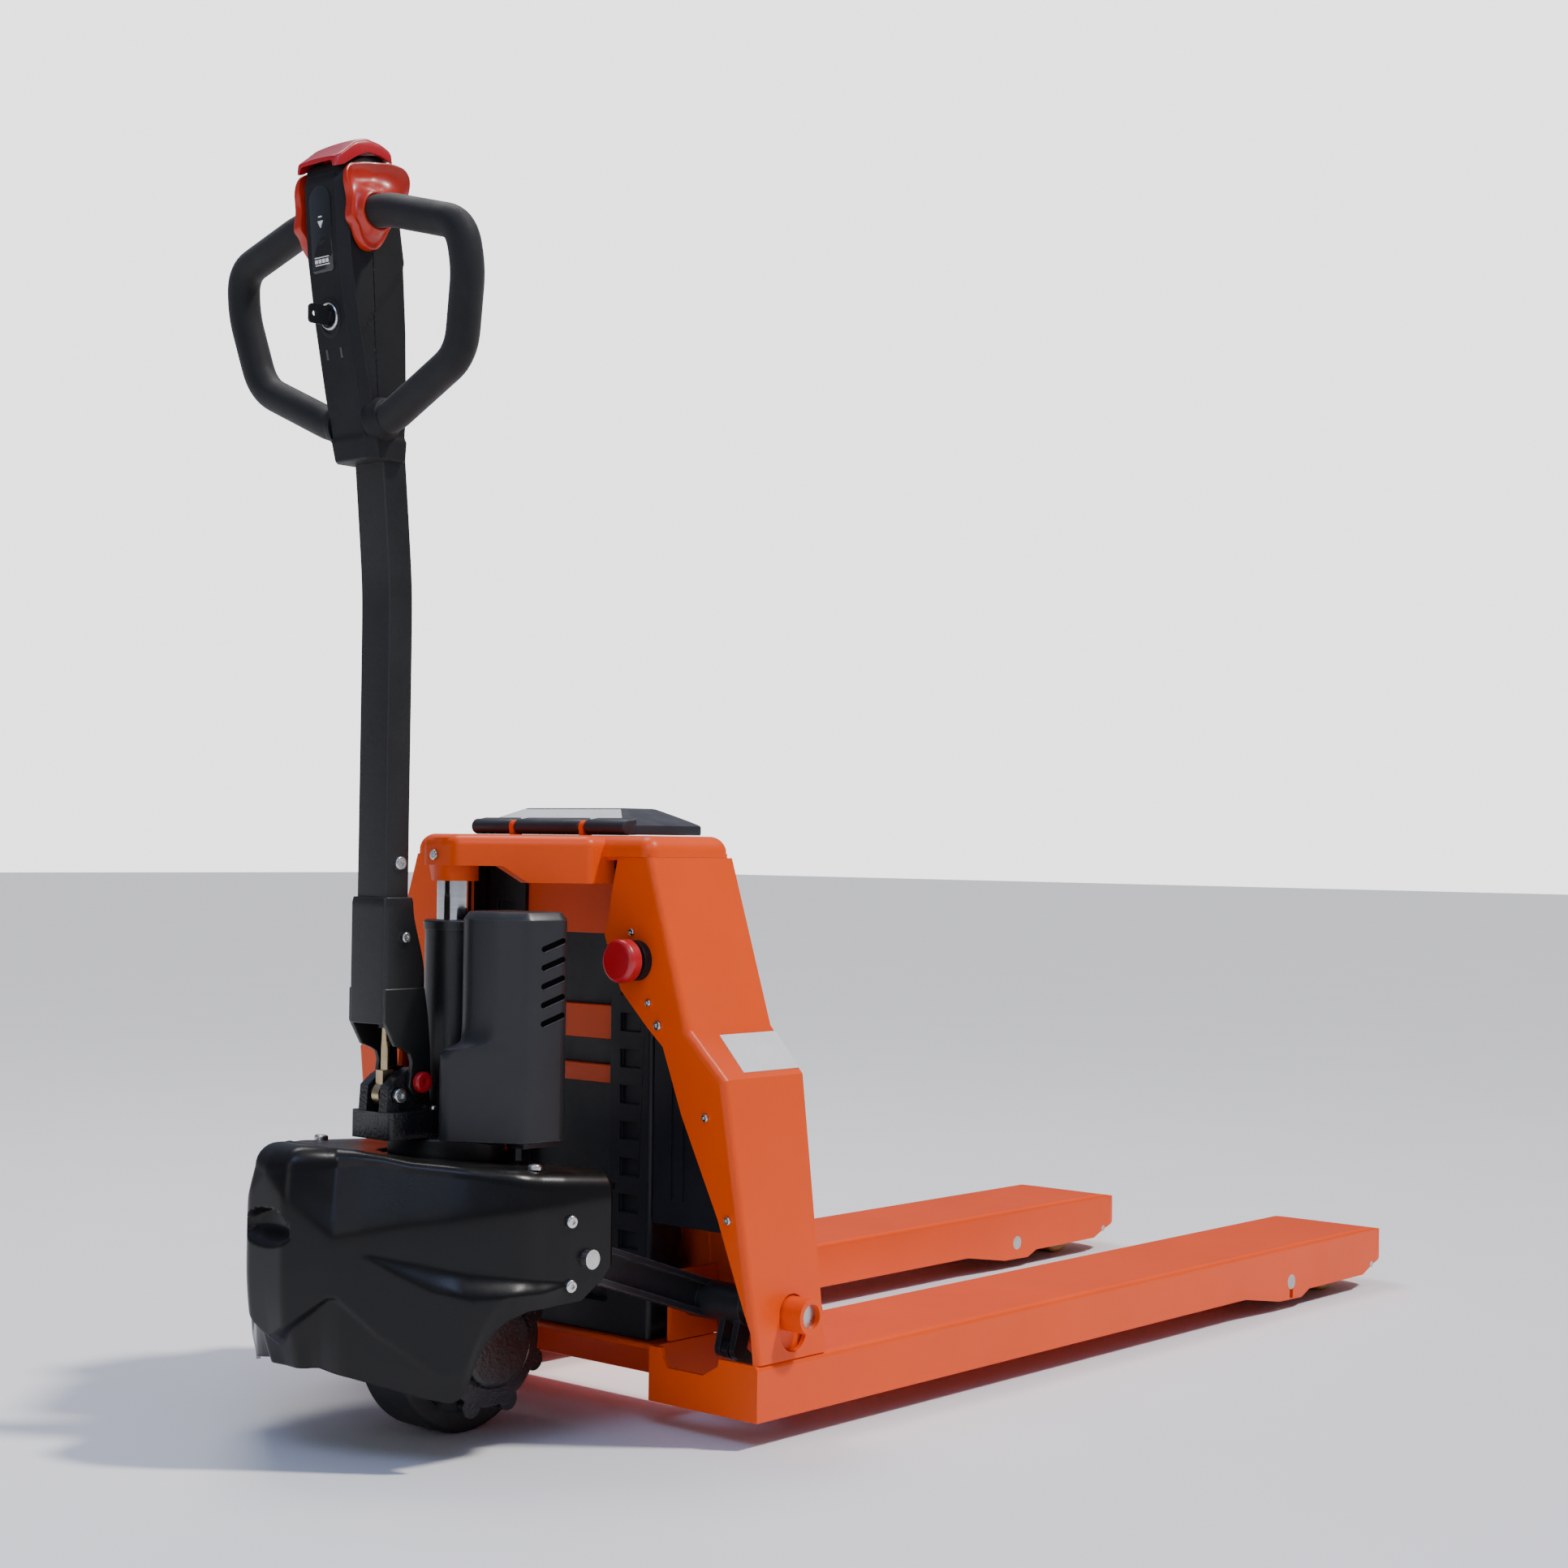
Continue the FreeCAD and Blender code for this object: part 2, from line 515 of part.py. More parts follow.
# ---------------------------------------------------------------- steered drive and pump unit
def turntable_yoke():
    disc = cyl(62.0, (STEER_X, 0, 250 + GAP), 37 - GAP, Z_AXIS)
    disc = round_edges(disc, 3.0, at_height(287))
    neck = cyl(56.0 - FIT, (STEER_X, 0, 226), 26, Z_AXIS)
    plate = cyl(78.0, (STEER_X, 0, 213), 22, Z_AXIS)
    arms = []
    for y in (-50, 42):
        arms.append(prism_y([(STEER_X - 50, 214), (STEER_X + 50, 214), (STEER_X + 38, 92), (STEER_X + 20, 62),
                             (STEER_X - 20, 62), (STEER_X - 38, 92)], y, y + 8))
    pump_shelf = box(STEER_X - 24, STEER_X + 22, -128, -40, 283, 287)
    yoke = fuse(disc, neck, plate, pump_shelf, *arms)
    axle = cyl(15.0, (STEER_X, -60, WHEEL_R), 120, Y_AXIS)
    wheel_room = cyl(WHEEL_R + 6, (STEER_X, -41, WHEEL_R), 82, Y_AXIS)
    return yoke.cut(axle).cut(wheel_room.cut(box(-400, 0, -60, 60, 212, 300)))


def drive_gearbox():
    """Reduction gear on the right of the wheel, its bolted cover and the axle stub."""
    body = cyl(60.0, (STEER_X, -62, WHEEL_R), 12, Y_AXIS)
    lobes = []
    for i in range(8):
        px, pz = polar((STEER_X, WHEEL_R), 61.0, 22.5 + 45 * i)
        lobes.append(cyl(11.0, (px, -61, pz), 10, Y_AXIS))
    cap = cyl(42.0, (STEER_X, -74, WHEEL_R), 14, Y_AXIS)
    cap = round_edges(cap, 6.0, lambda e: e.BoundBox.YMax < -73)
    axle = cyl(15.0, (STEER_X, -56, WHEEL_R), 94, Y_AXIS)
    return fuse(body, cap, axle, *lobes)


def drive_motor():
    body = cyl(50.0, (STEER_X, 50, WHEEL_R), 56, Y_AXIS)
    body = round_edges(body, 5.0, lambda e: e.BoundBox.YMin > 105)
    fins = [pipe(56.0, 49.0, (STEER_X, 54 + 8 * i, WHEEL_R), 3, Y_AXIS) for i in range(6)]
    stub = cyl(15.0, (STEER_X, 40, WHEEL_R), 12, Y_AXIS)
    return fuse(body, stub, *fins)


def drive_hub():
    rim = pipe(HUB_R, HUB_R - 9, (STEER_X, -26, WHEEL_R), 52, Y_AXIS)
    disc = cyl(HUB_R - 8, (STEER_X, -8, WHEEL_R), 16, Y_AXIS)
    boss = cyl(28.0, (STEER_X, -36, WHEEL_R), 72, Y_AXIS)
    holes = []
    for i in range(6):
        px, pz = polar((STEER_X, WHEEL_R), 44.0, 60 * i)
        holes.append(cyl(9.0, (px, -20, pz), 40, Y_AXIS))
    hub = fuse(rim, disc, boss).cut(group(holes))
    return hub.cut(cyl(15.0 + FIT, (STEER_X, -60, WHEEL_R), 120, Y_AXIS))


def drive_tyre():
    tyre = pipe(WHEEL_R, HUB_R, (STEER_X, -29, WHEEL_R), 58, Y_AXIS)
    return round_edges(tyre, 6.0, lambda e: e.BoundBox.YLength < 1e-3 and e.BoundBox.ZLength > 2 * HUB_R + 1)


def cylinder_tube():
    tube = cyl(CYLINDER_R, (STEER_X, 0, 287), 197, Z_AXIS)
    foot = cyl(34.0, (STEER_X, 0, 287), 14, Z_AXIS)
    body = fuse(tube, foot)
    return body.cut(cyl(CYLINDER_R - 5, (STEER_X, 0, 295), 200, Z_AXIS))


def cylinder_gland():
    gland = pipe(CYLINDER_R + 1.5, ROD_R + FIT, (STEER_X, 0, 484), 9, Z_AXIS)
    return round_edges(gland, 2.0, lambda e: at_height(493)(e) and e.BoundBox.XLength > 50)


LOWER_PLAN = [(-66, -53), (-66, -65), (-26, -132), (18, -138), (30, -126), (30, -44), (-28, -44), (-44, -53)]
UPPER_PLAN = [(-46, -72), (-43, -104), (-26, -132), (18, -138), (30, -126), (30, -44), (-24, -44), (-40, -56)]


def cover_block(plan, z1, radius, offset):
    points = [Vector(STEER_X + x, y, 288) for x, y in plan]
    face = polygon(points)
    if offset:
        face = face.makeOffset2D(-offset, 2)
    block = face.extrude(Vector(0, 0, z1 - 288 - offset))
    if radius:
        block = round_edges(block, radius, vertical)
        block = round_edges(block, radius, at_height(z1 - offset))
    return block


def pump_cover():
    outer = fuse(cover_block(LOWER_PLAN, 376, 3.5, 0), cover_block(UPPER_PLAN, 503, 3.5, 0))
    inner = fuse(cover_block(LOWER_PLAN, 376, 0, 3.0), cover_block(UPPER_PLAN, 503, 0, 3.0))
    shell = outer.cut(inner)
    slots = []
    for i in range(5):
        slot = obround_y((-252, 0), (-230, 0), 2.4, -150, -126)
        slot.rotate(Vector(-241, 0, 0), Y_AXIS, -17.6)
        slot.translate(Vector(0, 0, 478 - 17.5 * i))
        slots.append(slot)
    return shell.cut(group(slots))


def pump_motor():
    body = cyl(28.0, (PUMP_X, PUMP_Y, 330), 130, Z_AXIS)
    body = round_edges(body, 4.0, at_height(460))
    collar = cyl(30.0, (PUMP_X, PUMP_Y, 326), 10, Z_AXIS)
    terminals = [cyl(4.0, (PUMP_X + dx, PUMP_Y, 458), 14, Z_AXIS) for dx in (-12, 12)]
    return fuse(body, collar, *terminals)


def valve_block():
    block = box(STEER_X - 22, STEER_X + 20, -126, -49, 287, 326)
    return round_edges(block, 3.0, vertical)


def tiller_base():
    px, pz = TILLER_PIVOT
    block = box(-338, -268, -29, 29, 288, 314)
    block = round_edges(block, 4.0, lambda e: vertical(e) and e.BoundBox.XMin < -330)
    outline = [(-336, 312), (-334, 338), (-322, 347), (-308, 354), (-292, 354), (-286, 346), (-280, 312)]
    lugs = [prism_y(outline, y, y + 11.5) for y in (-20.5, 9)]
    tongue = box(-290, -264, -29, 29, 287, 300)
    base = fuse(block, tongue, *lugs)
    base = base.cut(cyl(8.0, (px, -40, pz), 80, Y_AXIS))
    base = base.cut(cyl(5.0, (GAS_X - 1, -40, GAS_EYE_Z), 80, Y_AXIS))
    base = base.cut(cyl(34.0, (STEER_X, 0, 280), 40, Z_AXIS))
    return base


def tiller_pivot_bolt():
    px, pz = TILLER_PIVOT
    shank = cyl(8.0, (px, -28, pz), 56, Y_AXIS)
    heads = [dome_screw((px, side * 28, pz), (0, side, 0), 10.0, 6.0) for side in (-1, 1)]
    return fuse(shank, *heads)


def base_bolts():
    shank = cyl(5.0, (GAS_X - 1, -22, GAS_EYE_Z), 44, Y_AXIS)
    head = dome_screw((GAS_X - 1, -22, GAS_EYE_Z), (0, -1, 0), BOLT_HEAD_R, 4.0)
    nut = cyl(BOLT_HEAD_R, (GAS_X - 1, 22, GAS_EYE_Z), 4.0, Y_AXIS)
    through = fuse(shank.cut(box(-400, -200, -100, -22, 300, 360)), head, nut)
    caps = [dome_screw((-282, side * 25.2, 314), (0, 0, 1), 3.6, 3.0) for side in (-1, 1)]
    return group([through] + caps)


# ---------------------------------------------------------------- tiller
LEAN_Z = 808.0
LEAN_ANGLE = -5.5


def tube_section(x0, x1, half, z):
    return Part.makePolygon([Vector(x0, -half, z), Vector(x1, -half, z), Vector(x1, half, z),
                             Vector(x0, half, z), Vector(x0, -half, z)])


def bent_tube(inset):
    """Straight post whose upper part leans to the operator."""
    lean = math.tan(math.radians(-LEAN_ANGLE))
    top = 940.0
    shift = lean * (top - LEAN_Z)
    low = 490.0
    sections = [tube_section(-338 + inset, -313 - inset, 21 - inset, low),
                tube_section(-338 + inset, -313 - inset, 21 - inset, LEAN_Z),
                tube_section(-338 + inset - shift, -313 - inset - shift, 21 - inset, top)]
    return Part.makeLoft(sections, True, True)


def tiller_tube():
    outer = bent_tube(0.0)
    outer = round_edges(outer, 3.5, lambda e: e.BoundBox.ZLength > 50)
    return outer.cut(bent_tube(3.0))


def turned_down(point, angle):
    """Where a point of the base stands beside the upright tiller once the tiller is turned down."""
    px, pz = TILLER_PIVOT
    cosine = math.cos(math.radians(angle))
    sine = math.sin(math.radians(angle))
    dx = point[0] - px
    dz = point[1] - pz
    return px + cosine * dx + sine * dz, pz - sine * dx + cosine * dz


def tiller_sleeve():
    outer = box(-350, -309, -26, 26, 375, 516)
    outer = round_edges(outer, 5.0, vertical)
    inner = box(-345.7, -313, -21, 21, 370, 520)
    sleeve = outer.cut(inner)
    front_cut = [(-360, 360), (-360, 398), (-346, 384), (-332, 375), (-332, 360)]
    sleeve = sleeve.cut(prism_y(front_cut, -30, 30))
    px, pz = TILLER_PIVOT
    ears = []
    for y in (-26.5, 21):
        ear = prism_y([(px - 14, pz), (px - 22, 400), (px - 9, 430), (px + 2, 400), (px + 14, pz)], y, y + 5.5)
        ears.append(ear)
        ears.append(cyl(14.0, (px, y, pz), 5.5, Y_AXIS))
    sleeve = fuse(sleeve, *ears)
    bolt_path = [turned_down((GAS_X - 1, GAS_EYE_Z), angle) for angle in (48.0, 70.0)]
    sleeve = sleeve.cut(obround_y(*bolt_path, BOLT_HEAD_R + 1.0, -40, 40))
    sleeve = sleeve.cut(cyl(8.0 + FIT, (px, -40, pz), 80, Y_AXIS))
    return sleeve.cut(cyl(4.0, (GAS_X, -40, 478), 80, Y_AXIS))


def gas_cylinder():
    body = cyl(7.5, (GAS_X, 0, 392), 96, Z_AXIS)
    body = body.cut(cyl(5.5, (GAS_X, 0, 398), 76, Z_AXIS))
    body = body.cut(cyl(4.0 + FIT, (GAS_X, 0, 380), 30, Z_AXIS))
    return body.cut(cyl(4.0, (GAS_X, -20, 478), 40, Y_AXIS))


def gas_rod():
    rod = cyl(4.0, (GAS_X, 0, 338), 98, Z_AXIS)
    eye = cyl(12.0, (GAS_X, -5, GAS_EYE_Z), 10, Y_AXIS)
    neck = box(GAS_X - 7, GAS_X + 7, -5, 5, 338, 352)
    end = fuse(rod, eye, neck)
    return end.cut(cyl(9.4, (GAS_X, -10, GAS_EYE_Z), 20, Y_AXIS))


HEAD_LOW = 925.0
HEAD_TOP = 1196.0


def head_section(z, front, rear, half):
    c = 8.0
    points = [(front, -half + c), (front + c, -half), (rear - c, -half), (rear, -half + c),
              (rear, half - c), (rear - c, half), (front + c, half), (front, half - c)]
    return Part.makePolygon([Vector(x, y, z) for x, y in points + [points[0]]])


HEAD_SECTIONS = [(HEAD_LOW, -372, -333, 28), (984, -385, -331, 30.5), (1048, -399, -332, 29.5),
                 (1112, -410, -336, 28.5), (1165, -414, -345, 28.5), (HEAD_TOP, -416, -352, 28)]


def head_body(inset):
    sections = [head_section(z, f + inset, r - inset, h - inset) for z, f, r, h in HEAD_SECTIONS]
    return Part.makeLoft(sections, True, True)


def head_split(front_side):
    """Half space in front of or behind the seam between the two head shells."""
    line = [(-362, 900), (-376, 1100), (-384, 1240)]
    far_x = -480.0 if front_side else -280.0
    return prism_y(line + [(far_x, 1240), (far_x, 900)], -60, 60)


LOOP_TOP = 1150.0
LOOP_R = 15.5


def loop_x(z):
    """Middle of the leaning handle loop at a height."""
    return -359.5 - (z - 950) * 30 / 225


def loop_path():
    """Centre line of the handle loop as straight runs with tangent arcs, closed through the head."""
    half = [(70, LOOP_TOP), (128, 1131), (158, 1101), (163, 1073), (154, 1028), (118, 994), (50, 966)]

    def lift(y, z):
        return Vector(loop_x(z), y, z)

    points = [lift(y, z) for y, z in half] + [lift(-y, z) for y, z in reversed(half)]
    count = len(points)
    trims = []
    for i, corner in enumerate(points):
        before = points[i - 1]
        after = points[(i + 1) % count]
        reach = 0.45 * min((corner - before).Length, (after - corner).Length)
        a = corner + (before - corner).normalize() * reach
        b = corner + (after - corner).normalize() * reach
        toward = ((before - corner).normalize() + (after - corner).normalize())
        half_angle = 0.5 * (before - corner).getAngle(after - corner)
        radius = reach * math.tan(half_angle)
        centre = corner + toward.normalize() * (radius / math.sin(half_angle))
        middle = centre - toward.normalize() * radius
        trims.append((a, middle, b))
    edges = []
    for i, (a, middle, b) in enumerate(trims):
        edges.append(Part.Arc(a, middle, b).toShape())
        edges.append(Part.LineSegment(b, trims[(i + 1) % count][0]).toShape())
    return Part.Wire(edges)


def loop_tube(radius):
    path = loop_path()
    start = path.Edges[0].Vertexes[0].Point
    tangent = path.Edges[0].tangentAt(path.Edges[0].FirstParameter)
    circle = Part.Wire(Part.makeCircle(radius, start, tangent))
    return path.makePipeShell([circle], True, True)


def handle_grip():
    return loop_tube(LOOP_R)


def head_shell(front_side):
    shell = head_body(0.0).cut(head_body(3.0).common(box(-500, -300, -60, 60, 960, 1188)))
    half = shell.common(head_split(front_side))
    half = half.cut(loop_tube(LOOP_R))
    tube = bent_tube(-0.01)
    half = half.cut(tube)
    if front_side:
        half = half.cut(display_solid()).cut(key_barrel())
        for y, z in BUTTON_SPOTS:
            half = half.cut(button_solid(y, z, FIT, BUTTON_TRAVEL + 0.5))
    half = half.cut(cyl(SLEEVE_R + GAP, (loop_x(LOOP_TOP), -40, LOOP_TOP), 80, Y_AXIS))
    return half.cut(cap_stems(GAP))


def head_face_x(z, column_index):
    """Front (1) or rear (2) face of the head at a height."""
    for low, high in zip(HEAD_SECTIONS, HEAD_SECTIONS[1:]):
        if low[0] <= z <= high[0]:
            share = (z - low[0]) / (high[0] - low[0])
            return low[column_index] + (high[column_index] - low[column_index]) * share
    return HEAD_SECTIONS[-1][column_index]


def head_front_x(z):
    return head_face_x(z, 1)


def face_plate(z0, z1, half, depth):
    """Thin plate let into the leaning front face of the head."""
    sections = []
    for z in (z0, z1):
        x = head_front_x(z)
        sections.append(tube_section(x, x + depth, half, z))
    return Part.makeLoft(sections, True, True)


KEY_Z = 1056.0
BUTTON_SPOTS = [(0.0, 1157.0), (0.0, 1126.0)]
BUTTON_TRAVEL = 1.5


def display_solid():
    return face_plate(1102, 1164, 13, 1.6)


def display_panel():
    plate = display_solid()
    for y, z in BUTTON_SPOTS:
        plate = plate.cut(button_solid(y, z, FIT, BUTTON_TRAVEL + 0.5))
    return plate


def button_solid(y, z, grow=0.0, travel=0.0):
    """Button in the head's front face, or the pocket it runs in."""
    x = head_front_x(z)
    return cyl(5.5 + grow, (x - 2.0, y, z), 5 + travel, X_AXIS)


def key_barrel():
    return cyl(11.0, (head_front_x(KEY_Z) - 3.0, 0, KEY_Z), 24, X_AXIS)


def key_switch():
    barrel = key_barrel()
    x = head_front_x(KEY_Z)
    return barrel.cut(cyl(5.0 + FIT, (x - 5, 0, KEY_Z), 14, X_AXIS))


def ignition_key():
    x = head_front_x(KEY_Z)
    plug = cyl(5.0, (x - 4.0, 0, KEY_Z), 12.5, X_AXIS)
    bow = box(x - 26, x - 3.5, -1.3, 1.3, KEY_Z - 9, KEY_Z + 9)
    bow = round_edges(bow, 4.0, lambda e: along_y(e) and e.BoundBox.XMax < x - 20)
    return fuse(plug, bow.cut(cyl(2.5, (x - 20, -5, KEY_Z), 10, Y_AXIS)))


GUIDE_X = -384.0                  # middle of the red cap's two guide pegs
SLEEVE_R = 18.5                   # speed lever sleeve, turns on the handle loop's top run
WING_Y = (-47.0, -32.5)


def cap_stems(grow):
    """Two guide pegs of the red cap."""
    return group([box(x - 5 - grow, x + 5 + grow, -10 - grow, 10 + grow, 1186 - grow, HEAD_TOP + 8)
                  for x in (GUIDE_X - 15, GUIDE_X + 15)])


def belly_button():
    """Red reversing button that crowns the head."""
    low = head_section(HEAD_TOP + 6, -418, -350, 29.5)
    middle = head_section(HEAD_TOP + 14, -420, -351, 30.5)
    high = head_section(HEAD_TOP + 24, -410, -362, 22)
    cap = Part.makeLoft([low, middle, high], True, True)
    return fuse(cap, *cap_stems(0.0).Solids)


def butterfly():
    """Twin-wing speed lever: a sleeve on the handle loop's top run with a thumb wing at each end."""
    axis_x = loop_x(LOOP_TOP)
    wing = prism_y([(-406, 1130), (-398, 1117), (-386, 1114), (-372, 1121), (-362, 1142), (-356, 1168),
                    (-346, 1190), (-352, 1203), (-368, 1200), (-392, 1199), (-408, 1190), (-412, 1158)], *WING_Y)
    slope = [(-32, 1100), (-40, 1112), (-47, 1140), (-47, 1180), (-42, 1204), (-32, 1210)]
    wing = wing.common(prism_x(slope, -430, -330))
    sleeve = cyl(SLEEVE_R, (axis_x, WING_Y[0], LOOP_TOP), -2 * WING_Y[0], Y_AXIS)
    lever = fuse(sleeve, wing, mirrored(wing))
    return lever.cut(cyl(LOOP_R + GAP, (axis_x, -60, LOOP_TOP), 120, Y_AXIS))


def tiller_screws():
    heads = [cyl(4.0, (GAS_X, -27, 478), 54, Y_AXIS)]
    for side in (-1, 1):
        heads.append(dome_screw((-325, side * 21, 548), (0, side, 0), 6.5, 3.5))
        heads.append(dome_screw((GAS_X, side * 27, 478), (0, side, 0), 5.0, 2.5))
    for z in (960, 1040, 1095):
        heads.append(dome_screw((head_face_x(z, 2) + 0.4, 0, z), (1, 0, 0), 3.5, 2.0))
    return group(heads)


# ---------------------------------------------------------------- nodes
def nodes():
    yield "fork_right", fork()
    yield "link_arm_right", link_arm()
    yield "push_rod_right", push_rod()
    yield "wheel_arm_right", wheel_arm()
    yield "load_wheel_right", load_wheel()
    yield "entry_roller_right", entry_roller()


SINGLE = {
    "front_hood": front_hood, "cross_member": cross_member, "load_backplate": load_backplate,
    "battery_case": battery_case, "battery_straps": battery_straps, "estop_base": estop_base,
    "estop_button": estop_button, "frame_screws": frame_screws, "name_plate": name_plate,
    "piston_rod": piston_rod, "carriage_pins": carriage_pins,
    "battery_lid": battery_lid, "side_liners": side_liners,
    "chassis_frame": chassis_frame, "bumper_cover": bumper_cover, "bumper_screws": bumper_screws,
    "link_pins": link_pins, "steering_bearing": steering_bearing,
    "turntable_yoke": turntable_yoke, "drive_gearbox": drive_gearbox, "drive_motor": drive_motor,
    "drive_hub": drive_hub, "drive_tyre": drive_tyre, "cylinder_tube": cylinder_tube,
    "cylinder_gland": cylinder_gland, "pump_cover": pump_cover, "pump_motor": pump_motor,
    "valve_block": valve_block, "tiller_base": tiller_base, "tiller_pivot_bolt": tiller_pivot_bolt,
    "base_bolts": base_bolts, "tiller_tube": tiller_tube, "tiller_sleeve": tiller_sleeve,
    "gas_cylinder": gas_cylinder, "gas_rod": gas_rod, "head_front_shell": lambda: head_shell(True),
    "head_rear_shell": lambda: head_shell(False), "handle_grip": handle_grip,
    "display_panel": display_panel, "key_switch": key_switch, "ignition_key": ignition_key,
    "lift_button": lambda: button_solid(*BUTTON_SPOTS[0]),
    "lower_button": lambda: button_solid(*BUTTON_SPOTS[1]),
    "belly_button": belly_button, "throttle_butterfly": butterfly, "tiller_screws": tiller_screws,
}


def main():
    os.makedirs("parts", exist_ok=True)
    for name, shape in nodes():
        write(name, shape)
        write(name.replace("right", "left"), mirrored(shape))
    write("column_right", column(True))
    write("column_left", mirrored(column(False)))
    for name, make in SINGLE.items():
        write(name, make())


main()
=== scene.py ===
import json
import math

import bmesh
import bpy
from mathutils import Matrix, Vector

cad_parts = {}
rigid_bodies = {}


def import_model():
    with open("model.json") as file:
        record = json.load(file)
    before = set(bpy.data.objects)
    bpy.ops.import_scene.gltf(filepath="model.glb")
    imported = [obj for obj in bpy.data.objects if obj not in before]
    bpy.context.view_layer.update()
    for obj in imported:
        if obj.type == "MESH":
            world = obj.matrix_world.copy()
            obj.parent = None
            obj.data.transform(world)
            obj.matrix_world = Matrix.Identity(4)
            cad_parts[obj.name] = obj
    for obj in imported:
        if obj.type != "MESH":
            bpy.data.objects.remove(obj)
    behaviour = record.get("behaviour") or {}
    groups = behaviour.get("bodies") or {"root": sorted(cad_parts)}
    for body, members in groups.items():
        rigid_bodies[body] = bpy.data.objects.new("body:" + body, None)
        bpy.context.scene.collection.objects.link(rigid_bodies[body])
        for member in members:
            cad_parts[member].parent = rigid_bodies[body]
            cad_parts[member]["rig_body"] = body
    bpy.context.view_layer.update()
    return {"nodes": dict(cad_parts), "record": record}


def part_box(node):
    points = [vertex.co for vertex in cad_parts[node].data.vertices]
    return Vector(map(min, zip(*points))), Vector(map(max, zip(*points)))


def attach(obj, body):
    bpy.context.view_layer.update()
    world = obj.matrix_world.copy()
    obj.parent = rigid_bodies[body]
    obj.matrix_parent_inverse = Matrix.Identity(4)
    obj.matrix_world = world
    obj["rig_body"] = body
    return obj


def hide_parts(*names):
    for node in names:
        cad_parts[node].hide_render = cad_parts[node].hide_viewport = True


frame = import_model()

MM = 0.001
LOAD_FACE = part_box("load_backplate")[1].x      # the truck's own x = 0
STEER_X = -236.0                               # steering axis, in truck millimetres


def at(x, y, z):
    """A point given in truck millimetres (x from the load face), in the frame's metres."""
    return Vector((LOAD_FACE + x * MM, y * MM, z * MM))


# ---------------- materials
def link(tree, a, b):
    """Wires one socket to another."""
    tree.links.new(a, b)


def noise(tree, scale, detail, rough, stretch=None):
    """Noise of object space; stretch gives a different scale along each axis."""
    coords = tree.nodes.new("ShaderNodeTexCoord")
    mapping = tree.nodes.new("ShaderNodeMapping")
    if stretch:
        mapping.inputs["Scale"].default_value = stretch
    link(tree, coords.outputs["Object"], mapping.inputs["Vector"])
    texture = tree.nodes.new("ShaderNodeTexNoise")
    for name, number in (("Scale", scale), ("Detail", detail), ("Roughness", rough)):
        texture.inputs[name].default_value = number
    link(tree, mapping.outputs["Vector"], texture.inputs["Vector"])
    return texture.outputs["Fac"]


def ramp(tree, value, low, high, out_low=0.0, out_high=1.0):
    """Value mapped from one range to another and kept inside it."""
    node = tree.nodes.new("ShaderNodeMapRange")
    node.clamp = True
    for name, number in (("From Min", low), ("From Max", high), ("To Min", out_low), ("To Max", out_high)):
        node.inputs[name].default_value = number
    link(tree, value, node.inputs["Value"])
    return node.outputs["Result"]


def math_node(tree, kind, a, b):
    """Arithmetic on two sockets or numbers."""
    node = tree.nodes.new("ShaderNodeMath")
    node.operation = kind
    for socket, value in zip(node.inputs, (a, b)):
        if isinstance(value, (int, float)):
            socket.default_value = value
        else:
            link(tree, value, socket)
    return node.outputs[0]


def mix(tree, factor, a, b):
    """Colour between a and b."""
    node = tree.nodes.new("ShaderNodeMix")
    node.data_type = "RGBA"
    for name, value in (("Factor", factor), ("A", a), ("B", b)):
        socket = [s for s in node.inputs if s.name == name and s.enabled][0]
        if isinstance(value, (tuple, list)):
            socket.default_value = (*value, 1.0) if len(value) == 3 else value
        elif isinstance(value, (int, float)):
            socket.default_value = value
        else:
            link(tree, value, socket)
    return [s for s in node.outputs if s.enabled][0]


def edge_wear_and_highlight_mask(tree, radius):
    """One on outer edges, nought elsewhere; these edges are lightened as worn paint and as a painted edge
    highlight.
    """
    bevel = tree.nodes.new("ShaderNodeBevel")
    bevel.samples = 4
    bevel.inputs["Radius"].default_value = radius * MM
    geometry = tree.nodes.new("ShaderNodeNewGeometry")
    dot = tree.nodes.new("ShaderNodeVectorMath")
    dot.operation = "DOT_PRODUCT"
    link(tree, bevel.outputs["Normal"], dot.inputs[0])
    link(tree, geometry.outputs["Normal"], dot.inputs[1])
    return ramp(tree, dot.outputs["Value"], 0.985, 0.90)


